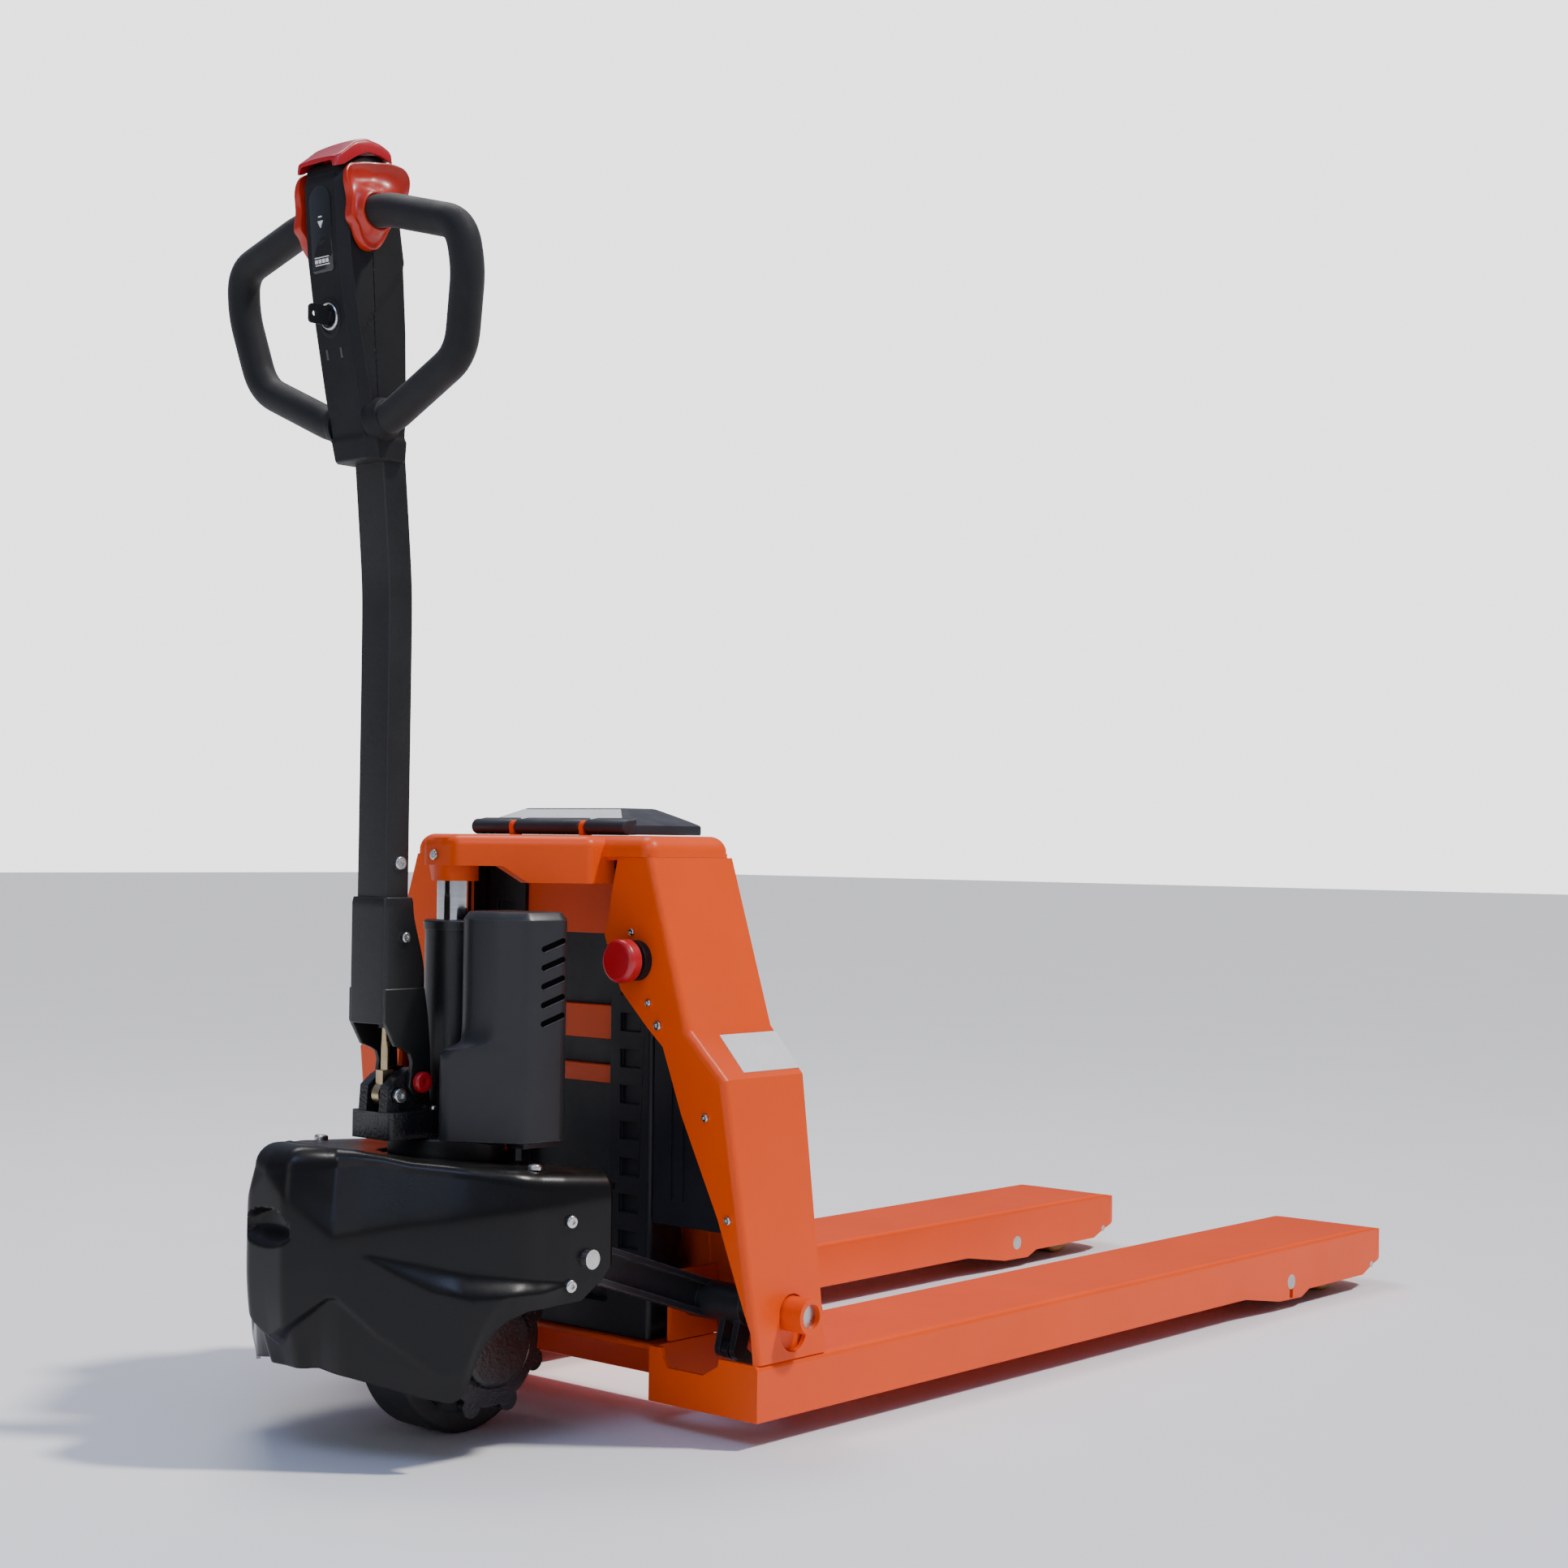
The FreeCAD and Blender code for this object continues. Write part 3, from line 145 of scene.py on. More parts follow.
def finish_material(name, base, rough, metallic=0.0, coat=0.0, coat_rough=0.08, specular=0.5,
                    vary=0.10, vary_scale=7.0, rough_vary=0.08, grain=(900.0, 0.0), stretch=None,
                    edge=None, dust=0.0, sheen=0.0, peel=(0.0, 0.0)):
    """A painted, moulded or machined surface: colour drift, uneven gloss, surface grain, lighter edges (worn
    paint and a painted edge highlight) and dust.

    Grain and peel are (noise scale, height in mm); edge is (colour, reach in mm, strength).
    """
    material = bpy.data.materials.new(name)
    material.use_nodes = True
    tree = material.node_tree
    shader = tree.nodes["Principled BSDF"]
    for socket, number in (("Metallic", metallic), ("Coat Weight", coat), ("Coat Roughness", coat_rough),
                           ("Specular IOR Level", specular), ("Sheen Weight", sheen)):
        shader.inputs[socket].default_value = number

    drift = noise(tree, vary_scale, 4.0, 0.6, stretch)
    dark = tuple(c * (1.0 - vary) for c in base)
    light = tuple(min(1.0, c * (1.0 + vary)) for c in base)
    colour = mix(tree, ramp(tree, drift, 0.30, 0.70), dark, light)
    if dust:
        geometry = tree.nodes.new("ShaderNodeNewGeometry")
        split = tree.nodes.new("ShaderNodeSeparateXYZ")
        link(tree, geometry.outputs["Normal"], split.inputs[0])
        up = ramp(tree, split.outputs["Z"], 0.2, 1.0)
        patch = ramp(tree, noise(tree, 26.0, 5.0, 0.7), 0.42, 0.72, 0.15, 1.0)
        amount = math_node(tree, "MULTIPLY", math_node(tree, "MULTIPLY", up, patch), dust)
        colour = mix(tree, amount, colour, (0.26, 0.24, 0.21))
    # Lighter edges: partly worn paint, partly a painted edge highlight in a brighter tone of the base colour.
    if edge:
        tone, radius, strength = edge
        broken = ramp(tree, noise(tree, 95.0, 4.0, 0.7), 0.35, 0.62, 0.25, 1.0)
        worn_and_highlit = math_node(tree, "MULTIPLY", edge_wear_and_highlight_mask(tree, radius), broken)
        amount = math_node(tree, "MULTIPLY", worn_and_highlit, strength)
        colour = mix(tree, amount, colour, tone)
    link(tree, colour, shader.inputs["Base Color"])

    gloss = ramp(tree, noise(tree, vary_scale * 2.6, 4.0, 0.6, stretch), 0.25, 0.75,
                 max(0.02, rough - rough_vary), min(1.0, rough + rough_vary))
    link(tree, gloss, shader.inputs["Roughness"])

    grain_scale, grain_height = grain
    peel_scale, peel_height = peel
    normal = None
    for scale, height in ((peel_scale, peel_height), (grain_scale, grain_height)):
        if height:
            bump = tree.nodes.new("ShaderNodeBump")
            bump.inputs["Strength"].default_value = 1.0
            bump.inputs["Distance"].default_value = height * MM
            link(tree, noise(tree, scale, 2.0, 0.5, stretch), bump.inputs["Height"])
            if normal is not None:
                link(tree, normal, bump.inputs["Normal"])
            normal = bump.outputs["Normal"]
    if normal is not None:
        link(tree, normal, shader.inputs["Normal"])
    return material


FINISHES = {                                   # slot: name, colour, roughness, the rest
    "orange_paint": ("orange_powder_coat", (0.82, 0.072, 0.0), 0.4, dict(coat=0.06, coat_rough=0.26,
        specular=0.26, vary=0.05, vary_scale=5, rough_vary=0.06, peel=(260, 0.1), grain=(1500, 0.03),
        edge=((0.9, 0.12, 0.005), 1.6, 0.5), dust=0.02)),
    "black_paint": ("black_satin_paint", (0.006, 0.0062, 0.0062), 0.42, dict(coat=0.15, coat_rough=0.25,
        vary=0.25, peel=(240, 0.12), grain=(1400, 0.04), edge=((0.09, 0.09, 0.095), 1.4, 0.6), dust=0.1)),
    "tiller_plastic": ("tiller_grained_plastic", (0.0085, 0.0087, 0.009), 0.6, dict(specular=0.26, vary=0.2,
        vary_scale=9, rough_vary=0.07, grain=(1150, 0.11), edge=((0.055, 0.056, 0.06), 1.2, 0.5),
        dust=0.1)),
    "grip_rubber": ("grip_soft_rubber", (0.0068, 0.0069, 0.007), 0.64, dict(specular=0.26, vary=0.25,
        vary_scale=14, grain=(1500, 0.12), sheen=0.12, dust=0.08)),
    "bumper_plastic": ("bumper_moulding", (0.0042, 0.004, 0.004), 0.3, dict(specular=0.27, vary=0.2,
        vary_scale=6, rough_vary=0.05, grain=(1700, 0.04), peel=(420, 0.04),
        edge=((0.06, 0.06, 0.065), 1, 0.35), dust=0.07)),
    "cover_plastic": ("pump_cover_moulding", (0.0175, 0.0185, 0.0205), 0.36, dict(specular=0.42, vary=0.12,
        vary_scale=9, rough_vary=0.07, grain=(1300, 0.07), edge=((0.16, 0.165, 0.18), 1.6, 0.6), dust=0.1)),
    "lid_plastic": ("lid_textured_plastic", (0.018, 0.019, 0.025), 0.48, dict(specular=0.45, vary=0.18,
        vary_scale=11, grain=(1100, 0.12), edge=((0.085, 0.085, 0.1), 1.4, 0.5), dust=0.16)),
    "battery_plastic": ("battery_case_plastic", (0.006, 0.0063, 0.008), 0.52, dict(vary=0.25,
        grain=(1200, 0.09), dust=0.12)),
    "liner_plastic": ("liner_panel", (0.006, 0.0065, 0.011), 0.46, dict(vary=0.2, vary_scale=5,
        grain=(900, 0.08), dust=0.05)),
    "red_plastic": ("crimson_plastic", (0.44, 0.006, 0.012), 0.34, dict(coat=0.2, coat_rough=0.2,
        vary_scale=16, grain=(1500, 0.04), edge=((0.75, 0.1, 0.09), 1, 0.5))),
    "orange_plastic": ("speed_lever_plastic", (0.46, 0.014, 0.001), 0.36, dict(coat=0.2, coat_rough=0.2,
        vary_scale=18, grain=(1500, 0.04), edge=((0.78, 0.09, 0.03), 1, 0.5))),
    "chrome": ("hard_chrome", (0.52, 0.54, 0.58), 0.1, dict(metallic=1, vary=0.04, rough_vary=0.03,
        stretch=(1, 1, 22))),
    "zinc_steel": ("zinc_plate", (0.63, 0.63, 0.6), 0.27, dict(metallic=1, vary_scale=70, rough_vary=0.12,
        grain=(1400, 0.04))),
    "bright_steel": ("turned_steel", (0.5, 0.5, 0.49), 0.32, dict(metallic=1, vary=0.12, vary_scale=40,
        rough_vary=0.1, stretch=(1, 12, 1))),
    "cast_black": ("enamelled_casting", (0.012, 0.012, 0.013), 0.24, dict(specular=0.55, vary=0.25,
        vary_scale=24, rough_vary=0.1, peel=(330, 0.35), grain=(1500, 0.06),
        edge=((0.07, 0.07, 0.07), 1.2, 0.5))),
    "tyre_pu": ("drive_tyre_compound", (0.014, 0.014, 0.014), 0.55, dict(vary=0.3, vary_scale=18,
        grain=(800, 0.15), dust=0.12)),
    "wheel_pu": ("amber_polyurethane", (0.5, 0.27, 0.06), 0.38, dict(coat=0.15, vary=0.14, vary_scale=22,
        grain=(1000, 0.06), dust=0.1)),
    "hub_alloy": ("cast_alloy", (0.5, 0.51, 0.52), 0.42, dict(metallic=1, vary=0.12, vary_scale=30,
        rough_vary=0.12, grain=(900, 0.1))),
    "label_white": ("blank_plate", (0.74, 0.74, 0.71), 0.42, dict(vary=0.05, vary_scale=30,
        grain=(1500, 0.03), dust=0.1)),
    "display_black": ("display_window", (0.01, 0.012, 0.014), 0.16, dict(coat=0.5, coat_rough=0.06,
        vary=0.15, vary_scale=30, rough_vary=0.04)),
    "vent_painted_shade": ("vent_shadow", (0.0015, 0.0015, 0.0017), 0.92, dict(specular=0.02, vary=0.2,
        grain=(900, 0.02))),
    "key_brass": ("plated_rod_end", (0.56, 0.44, 0.26), 0.3, dict(metallic=1, vary=0.15, vary_scale=60,
        rough_vary=0.12, grain=(1400, 0.04))),
}
MATERIALS = {slot: finish_material(name, base, rough, **more)
             for slot, (name, base, rough, more) in FINISHES.items()}
SLOT_OF = {p["node"]: p["material_slot"] for p in frame["record"]["subparts"]}


# ---------------- mesh helpers
def placed(name, data):
    """New object in the scene."""
    item = bpy.data.objects.new(name, data)
    bpy.context.scene.collection.objects.link(item)
    return item


def make_object(name, bm, body, slot, replaces=(), sharp=32.0, material=None):
    """Turns a bmesh into a finished piece: smooth faces, sharp creases, material and body."""
    mesh = bpy.data.meshes.new(name)
    bmesh.ops.recalc_face_normals(bm, faces=bm.faces)
    bm.to_mesh(mesh)
    bm.free()
    for polygon in mesh.polygons:
        polygon.use_smooth = True
    mesh.set_sharp_from_angle(angle=math.radians(sharp))
    piece = placed(name, mesh)
    mesh.materials.append(MATERIALS[material or slot])
    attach(piece, body)
    if replaces:
        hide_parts(*replaces)
    return piece


def grid_faces(bm, rows, closed_u=False, closed_v=False):
    """Quads between rows of bmesh vertices."""
    count = len(rows[0])
    for j in range(len(rows) if closed_v else len(rows) - 1):
        below, above = rows[j], rows[(j + 1) % len(rows)]
        for i in range(count if closed_u else count - 1):
            k = (i + 1) % count
            bm.faces.new((below[i], below[k], above[k], above[i]))


def capped(bm, rows):
    """Closed skin through rows of bmesh vertices, with both ends filled."""
    grid_faces(bm, rows, closed_u=True)
    bm.faces.new(reversed(rows[0]))
    bm.faces.new(rows[-1])


def lofted(bm, sections):
    """Closed skin through sections of equal point count, with both ends filled."""
    capped(bm, [[bm.verts.new(p) for p in section] for section in sections])


def interpolate(table, x):
    """Piecewise linear value of a table of (x, value)."""
    if x <= table[0][0]:
        return table[0][1]
    for (x0, v0), (x1, v1) in zip(table, table[1:]):
        if x <= x1:
            return v0 + (v1 - v0) * (x - x0) / (x1 - x0)
    return table[-1][1]


def smooth(edge0, edge1, x):
    """Eased step from nought at edge0 to one at edge1."""
    t = min(1.0, max(0.0, (x - edge0) / (edge1 - edge0)))
    return t * t * (3.0 - 2.0 * t)


def rounded_outline(points, radii, step):
    """2-D polyline with its inner corners rounded, resampled at an even step."""
    path = [Vector(points[0])]
    for before, corner, after, radius in zip(points, points[1:], points[2:], radii):
        before, corner, after = Vector(before), Vector(corner), Vector(after)
        a = (before - corner).normalized()
        b = (after - corner).normalized()
        half = 0.5 * a.angle(b)
        reach = min(radius / math.tan(half), 0.49 * (before - corner).length, 0.49 * (after - corner).length)
        start, end = corner + a * reach, corner + b * reach
        for i in range(9):
            t = i / 8
            path.append(start * (1 - t) ** 2 + corner * 2 * t * (1 - t) + end * t * t)
    path.append(Vector(points[-1]))
    lengths = [0.0]
    for a, b in zip(path, path[1:]):
        lengths.append(lengths[-1] + (b - a).length)
    count = max(2, round(lengths[-1] / step))
    out, k = [], 0
    for i in range(count + 1):
        want = lengths[-1] * i / count
        while k < len(path) - 2 and lengths[k + 1] < want:
            k += 1
        t = (want - lengths[k]) / max(1e-9, lengths[k + 1] - lengths[k])
        out.append(path[k].lerp(path[k + 1], t))
    return out


def heading(path, i):
    """Direction of an open polyline at one of its points."""
    return (path[min(i + 1, len(path) - 1)] - path[max(i - 1, 0)]).normalized()


def bevelled(piece, width, segments, angle):
    """Rounds the edges that are sharper than an angle; width is in millimetres."""
    modifier = piece.modifiers.new("edges", "BEVEL")
    modifier.width = width * MM
    modifier.segments = segments
    modifier.limit_method = "ANGLE"
    modifier.angle_limit = math.radians(angle)
    modifier.miter_outer = "MITER_ARC"


def refined(node, width, material=None):
    """A copy of a CAD node with flat faces merged and its edges rounded off; it stands for the node."""
    source = frame["nodes"][node]
    bm = bmesh.new()
    bm.from_mesh(source.data)
    bmesh.ops.remove_doubles(bm, verts=bm.verts, dist=2e-6)
    bmesh.ops.dissolve_limit(bm, angle_limit=math.radians(0.6), verts=bm.verts, edges=bm.edges)
    piece = make_object(node + "_shell", bm, source["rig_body"], SLOT_OF[node], (node,), 40.0, material)
    bevelled(piece, width, 3, 28.0)
    weighted = piece.modifiers.new("shading", "WEIGHTED_NORMAL")
    weighted.keep_sharp = True


# ---------------- bumper
# Plan outline (x, y) of the right half, and heights (x, z) of its top and of its bottom lip.
BUMPER_CORNERS = [(-458, 0), (-458, -27), (-430, -60), (-352, -146), (-300, -176), (-204, -190)]
BUMPER_RADII = [16, 9, 70, 70]
BUMPER_TOP = [(-500, 296), (-418, 287), (-385, 278), (-333, 272), (-288, 269), (-237, 265), (-190, 261)]
BUMPER_BOTTOM = [(-500, 90), (-450, 90), (-440, 91), (-419, 86), (-398, 78), (-374, 69), (-356, 65),
                 (-350, 69), (-345, 80), (-340, 97), (-334, 112), (-325, 127), (-314, 137), (-297, 144),
                 (-238, 147), (-216, 163), (-204, 177)]
# Features by distance along the outline from the nose: a height, a slope or a depth.
CREASE = [(0, 266), (70, 214), (130, 224), (220, 234), (344, 240)]
CREASE_LEAN = [(0, 0.16), (70, 0.40), (190, 0.36), (344, 0.20)]
V_LINE = [(0, 119), (12, 124), (66, 160), (74, 160), (112, 127), (150, 103), (172, 88)]
V_STEP = [(0, 9.0), (58, 9.0), (78, 4.0), (140, 2.6), (175, 0.0)]
V_BAND = [(0, 10.0), (60, 9.0), (78, 5.0), (344, 5.0)]
V_LEAN = [(0, 0.10), (40, 0.10), (70, 0.06), (110, 0.04), (170, 0.0)]
RIM = [(0, 24.0), (60, 17.0), (110, 8.0), (200, 9.0), (270, 18.0), (344, 18.0)]
BELLY = [(0, 13.0), (45, 10.0), (85, 0.0)]
LENS_TOP = [(104, 197), (150, 190), (196, 180), (260, 171), (290, 167)]
LENS_LOW = [(104, 193), (130, 178), (160, 164), (196, 157), (260, 157), (290, 162)]
FLARE = [(96, 0.0), (140, 5.0), (185, 9.0), (235, 9.5), (268, 6.0), (292, 0.0)]
SCOOP_HALF = 32.0
WALL_ROWS, RIM_ROWS, TOP_ROWS = 96, 7, 16
BEARING_HOLE = 69.0                            # radius of the opening in the bumper's top
INNER_STRAIGHT = 32.0                          # straight run of the top's inner edge behind that opening


def bumper_offset(s, x, z):
    """How far the bumper's wall stands out from its plan outline, at arc length s and height z."""
    out = 0.0
    over = z - interpolate(CREASE, s)
    soft = 5.0
    out -= interpolate(CREASE_LEAN, s) * 0.5 * (over + math.sqrt(over * over + soft * soft))
    out -= interpolate(BELLY, s) * max(0.0, (188.0 - z) / 95.0) ** 2
    under = interpolate(V_LINE, s) - z
    if under > 0:
        out -= interpolate(V_STEP, s) * smooth(0.0, interpolate(V_BAND, s), under)
        out -= interpolate(V_LEAN, s) * under
    if s < SCOOP_HALF:
        half = math.sqrt(1.0 - (s / SCOOP_HALF) ** 2)
        high = 217.0 + 19.0 * half
        low = 212.0 - 13.0 * half
        if low < z < high:
            roof = smooth(high, high - 3.0, z)
            floor = smooth(low, low + 0.55 * (high - low), z)
            out -= 15.0 * half ** 0.6 * min(roof, floor)
    flare = interpolate(FLARE, s)
    if flare:
        out += flare * smooth(interpolate(LENS_TOP, s), interpolate(LENS_LOW, s), z)
        out -= 0.35 * flare
        lip = interpolate(BUMPER_BOTTOM, x)
        out -= 0.5 * flare * smooth(lip + 26.0, lip, z)
    return out


def bumper_column(x, y, nx, ny, s):
    """One station of the bumper from its bottom lip, up the wall and round the rim."""
    top = interpolate(BUMPER_TOP, x)
    low = interpolate(BUMPER_BOTTOM, x)
    radius = interpolate(RIM, s)
    points = []
    for j in range(WALL_ROWS):
        z = low + (top - radius - low) * j / (WALL_ROWS - 1)
        out = bumper_offset(s, x, z)
        points.append((x + nx * out, y + ny * out, z))
    rim_out = bumper_offset(s, x, top - radius)
    for j in range(1, RIM_ROWS + 1):
        angle = 0.5 * math.pi * j / RIM_ROWS
        out = rim_out - radius * (1 - math.cos(angle))
        points.append((x + nx * out, y + ny * out, top - radius + radius * math.sin(angle)))
    return points


def bumper_top(edge, inner):
    """Points over the bumper's top, from the end of its rim in to the opening."""
    edge_x, edge_y, edge_z = edge
    points = []
    for j in range(1, TOP_ROWS + 1):
        t = j / TOP_ROWS
        px = edge_x + (inner[0] - edge_x) * t
        py = edge_y + (inner[1] - edge_y) * t
        z = interpolate(BUMPER_TOP, px) + (edge_z - interpolate(BUMPER_TOP, edge_x)) * (1 - t)
        z += 0.8 * math.sin(math.pi * min(1.0, 1.6 * t))
        points.append((px, py, z))
    return points


def bumper_cover():
    """Thin moulded cover: creased walls, a lens-shaped flare on each side and a scoop in the nose."""
    outline = rounded_outline(BUMPER_CORNERS, BUMPER_RADII, 2.3)
    stations = []
    travelled = 0.0
    for i, point in enumerate(outline):
        tangent = heading(outline, i)
        if i:
            travelled += (point - outline[i - 1]).length
        square = Vector((-1.0, 0.0)) if i == 0 else Vector((tangent.y, -tangent.x))
        radial = (Vector(point) - Vector((-372.0, 0.0))).normalized()
        normal = radial.lerp(square, smooth(40.0, 110.0, travelled)).normalized()
        stations.append((point.x, point.y, normal[0], normal[1], travelled))
    total = stations[-1][4]
    arc = 0.5 * math.pi * BEARING_HOLE
    inner_length = arc + INNER_STRAIGHT
    bm = bmesh.new()
    columns = []
    for x, y, nx, ny, s in stations:
        points = bumper_column(x, y, nx, ny, s)
        where = inner_length * s / total
        if where < arc:
            angle = where / BEARING_HOLE
            inner = (STEER_X - BEARING_HOLE * math.cos(angle), -BEARING_HOLE * math.sin(angle))
        else:
            inner = (STEER_X + where - arc, -BEARING_HOLE)
        columns.append(points + bumper_top(points[-1], inner))
    left = [[bm.verts.new(at(px, -py, z)) for px, py, z in points] for points in reversed(columns[1:])]
    right = [[bm.verts.new(at(px, py, z)) for px, py, z in points] for points in columns]
    grid_faces(bm, left + right)
    piece = make_object("bumper_moulding", bm, "chassis", "bumper_plastic", ("bumper_cover",), 40.0)
    wall = piece.modifiers.new("wall", "SOLIDIFY")
    wall.thickness = 3.5 * MM
    wall.offset = -1.0


# ---------------- tiller head
# Control head by height: its front x, its rear x, its half width, and the x where its two shells meet.
HEAD_FRONT = [(925, -373), (984, -386.5), (1048, -400.5), (1112, -411.5), (1165, -415.5), (1196, -417.5)]
HEAD_REAR = [(925, -333), (984, -331), (1048, -332), (1112, -336), (1165, -345), (1196, -352)]
HEAD_HALF = [(925, 29.5), (984, 32.0), (1048, 31.0), (1112, 30.5), (1165, 30.5), (1196, 30.0)]
HEAD_SPLIT = [(900, -362), (1100, -376), (1240, -384)]
LOOP_AXIS_X, LOOP_TOP = -386.2, 1150.0
LOOP_LEAN = 0.1345                             # how far the handle loop leans back per unit of height
LOOP_RADIUS = 15.6


def head_row(z):
    """Front x, rear x and half width of the head at a height, with the flared foot."""
    front, rear, half = (interpolate(table, z) for table in (HEAD_FRONT, HEAD_REAR, HEAD_HALF))
    foot = 1.6 * (1.0 - smooth(944.0, 949.0, z))
    top = 5.0 * smooth(1186.0, 1196.0, z) ** 2
    return front - foot + top * 0.6, rear + foot - top * 0.4, half + foot - top * 0.5


def recess_edge(z, front, rear):
    """Where the slanted panel in the head's flank begins."""
    return interpolate([(960, front + 8.0), (1036, front + 8.0), (1113, rear + 2.0)], z)


def side_recess(x, z, front, rear):
    """Depth of the slanted panel let into the head's flanks."""
    if z > 1113.0:
        return 0.0
    edge = recess_edge(z, front, rear)
    return 1.7 * smooth(edge - 0.8, edge + 0.8, x) * smooth(968.0, 976.0, z)


def head_outline(z):
    """Half of the head's outline at a height, from the middle of the front to the middle of the rear."""
    front, rear, half = head_row(z)
    seam = interpolate(HEAD_SPLIT, z)
    chamfer = 8.5
    points = [(front - 0.6 * math.cos(0.5 * math.pi * t), (half - chamfer) * t)
              for t in (0.0, 0.2, 0.4, 0.6, 0.8, 0.93)]
    for t in (0.0, 0.15, 0.5, 0.85, 1.0):
        points.append((front + chamfer * (t + 0.03), half - chamfer * (1.0 - t)))
    edge = recess_edge(z, front, rear)
    marks = sorted([edge - 0.9, edge - 0.3, edge + 0.3, edge + 0.9])
    first, last = front + chamfer + 1.5, rear - 7.0
    spread = [first + (last - first) * k / 26 for k in range(27)]
    for k, mark in enumerate(marks):
        nearest = min(range(27), key=lambda i: abs(spread[i] - marks[0]))
        if 0 < nearest + k < 26 and first < mark < last:
            spread[nearest + k] = mark
    spread.sort()
    keep = [x for x in spread if abs(x - seam) > 1.1]
    groove = [seam - 0.9, seam - 0.35, seam + 0.35, seam + 0.9]
    while len(keep) > 23:
        gaps = [(keep[i + 1] - keep[i - 1], i) for i in range(1, len(keep) - 1)]
        keep.pop(min(gaps)[1])
    while len(keep) < 23:
        gaps = [(keep[i + 1] - keep[i], i) for i in range(len(keep) - 1)]
        i = max(gaps)[1]
        keep.insert(i + 1, 0.5 * (keep[i] + keep[i + 1]))
    for x in sorted(keep + groove):
        depth = side_recess(x, z, front, rear)
        if abs(x - seam) < 0.6 and z < 1118.0:
            depth += 1.1
        points.append((x, half - depth))
    flank = half - side_recess(rear, z, front, rear) - 6.0
    for k in range(6):
        angle = 0.5 * math.pi * k / 5
        points.append((rear - 6.0 + 6.0 * math.sin(angle), flank + 6.0 * math.cos(angle)))
    for t in (0.66, 0.33, 0.0):
        points.append((rear, flank * t))
    return points


def head_drop(x):
    """How far the top of the head falls away towards its front."""
    return 12.0 * (1.0 - smooth(-424.0, -380.0, x))


def head_casing():
    """Both halves of the head as one skin, with the seam between them cut in and a domed top."""
    heights = [925.0, 926.0, 928.5]
    z = 931.0
    while z < 1190.0:
        heights.append(z)
        z += 2.6
    heights += [1190.5, 1193.0, 1195.0, 1196.5, 1197.5]
    bm = bmesh.new()
    rows = []
    for z in heights:
        half = head_outline(z)
        shrink = 1.2 if z == 925.0 else 0.0
        ring = [(x, -y) for x, y in half] + [(x, y) for x, y in reversed(half[1:-1])]
        middle = sum(x for x, y in ring) / len(ring)
        row = []
        for x, y in ring:
            x += shrink if x < middle else -shrink
            y += shrink if y < 0 else -shrink
            arch = 7.0 * smooth(1186.0, 1197.5, z) * math.sin(math.pi * min(1, max(0, (x + 414) / 60.0)))
            arch -= head_drop(x) * smooth(1160.0, 1197.5, z)
            row.append(bm.verts.new(at(x, y, z + arch)))
        rows.append(row)
    grid_faces(bm, rows, closed_u=True)
    bm.faces.new(reversed(rows[0]))
    last = rows[-1]
    ridge = []
    for k in range(len(last) // 2 + 1):
        a, b = last[k], last[-k]
        ridge.append(a if a is b else bm.verts.new(0.5 * (a.co + b.co) + Vector((0, 0, 0.0012))))
    for k in range(len(last) // 2):
        for flank in ((last[k], last[k + 1]), (last[-k], last[-k - 1])):
            corners = list(dict.fromkeys((*flank, ridge[k + 1], ridge[k])))
            if len(corners) > 2 and bm.faces.get(corners) is None:
                bm.faces.new(corners)
    shells = ("head_front_shell", "head_rear_shell")
    make_object("head_casing", bm, "tiller", "tiller_plastic", shells, 26.0)


def head_crown():
    """Dark riser on top of the head that the reversing cap sits over."""
    bm = bmesh.new()
    levels = []
    for z, inset in ((1180.0, 0.0), (1201.0, 0.0), (1204.0, 1.2), (1205.5, 4.0)):
        ring = []
        for point in round_loop([(-414, -26.5), (-358, -26.5), (-358, 26.5), (-414, 26.5)], 7.0, 6):
            x = point.x + (inset if point.x < -385 else -inset)
            y = point.y - math.copysign(inset, point.y)
            arch = 6.0 * math.sin(math.pi * min(1.0, max(0.0, (x + 413) / 60.0)))
            ring.append(at(x, y, z + (arch - head_drop(x)) * smooth(1180.0, 1194.0, z)))
        levels.append(ring)
    lofted(bm, levels)
    make_object("head_crown", bm, "tiller", "tiller_plastic", (), 40.0)


def collar(name, centre, direction, radius, profile):
    """Ring of revolution around a direction; profile is (along, outwards) beyond the radius."""
    direction = Vector(direction).normalized()
    side = direction.cross(Vector((1, 0, 0))).normalized()
    other = direction.cross(side)
    bm = bmesh.new()
    rows = []
    for along, out in profile:
        row = []
        for k in range(56):
            angle = 2 * math.pi * k / 56
            place = Vector(centre) + direction * along
            place += (side * math.cos(angle) + other * math.sin(angle)) * (radius + out)
            row.append(bm.verts.new(at(*place)))
        rows.append(row)
    grid_faces(bm, rows, closed_u=True, closed_v=True)
    make_object(name, bm, "tiller", "tiller_plastic", (), 40.0)


def loop_collars():
    """Rounded roots where the lower ends of the handle loop run into the head."""
    for side, name in ((-1, "loop_root_right"), (1, "loop_root_left")):
        start = (-361.0, side * 24.0, 962.6)
        profile = [(0, -1.0), (0, 6.4), (5, 6.0), (8, 4.6), (10.5, 3.0), (13, 2.0), (14.6, 1.4), (15.2, 0.6),
                   (15.2, -1.0)]
        collar(name, start, (-0.02, side * 0.985, 0.17), LOOP_RADIUS, profile)


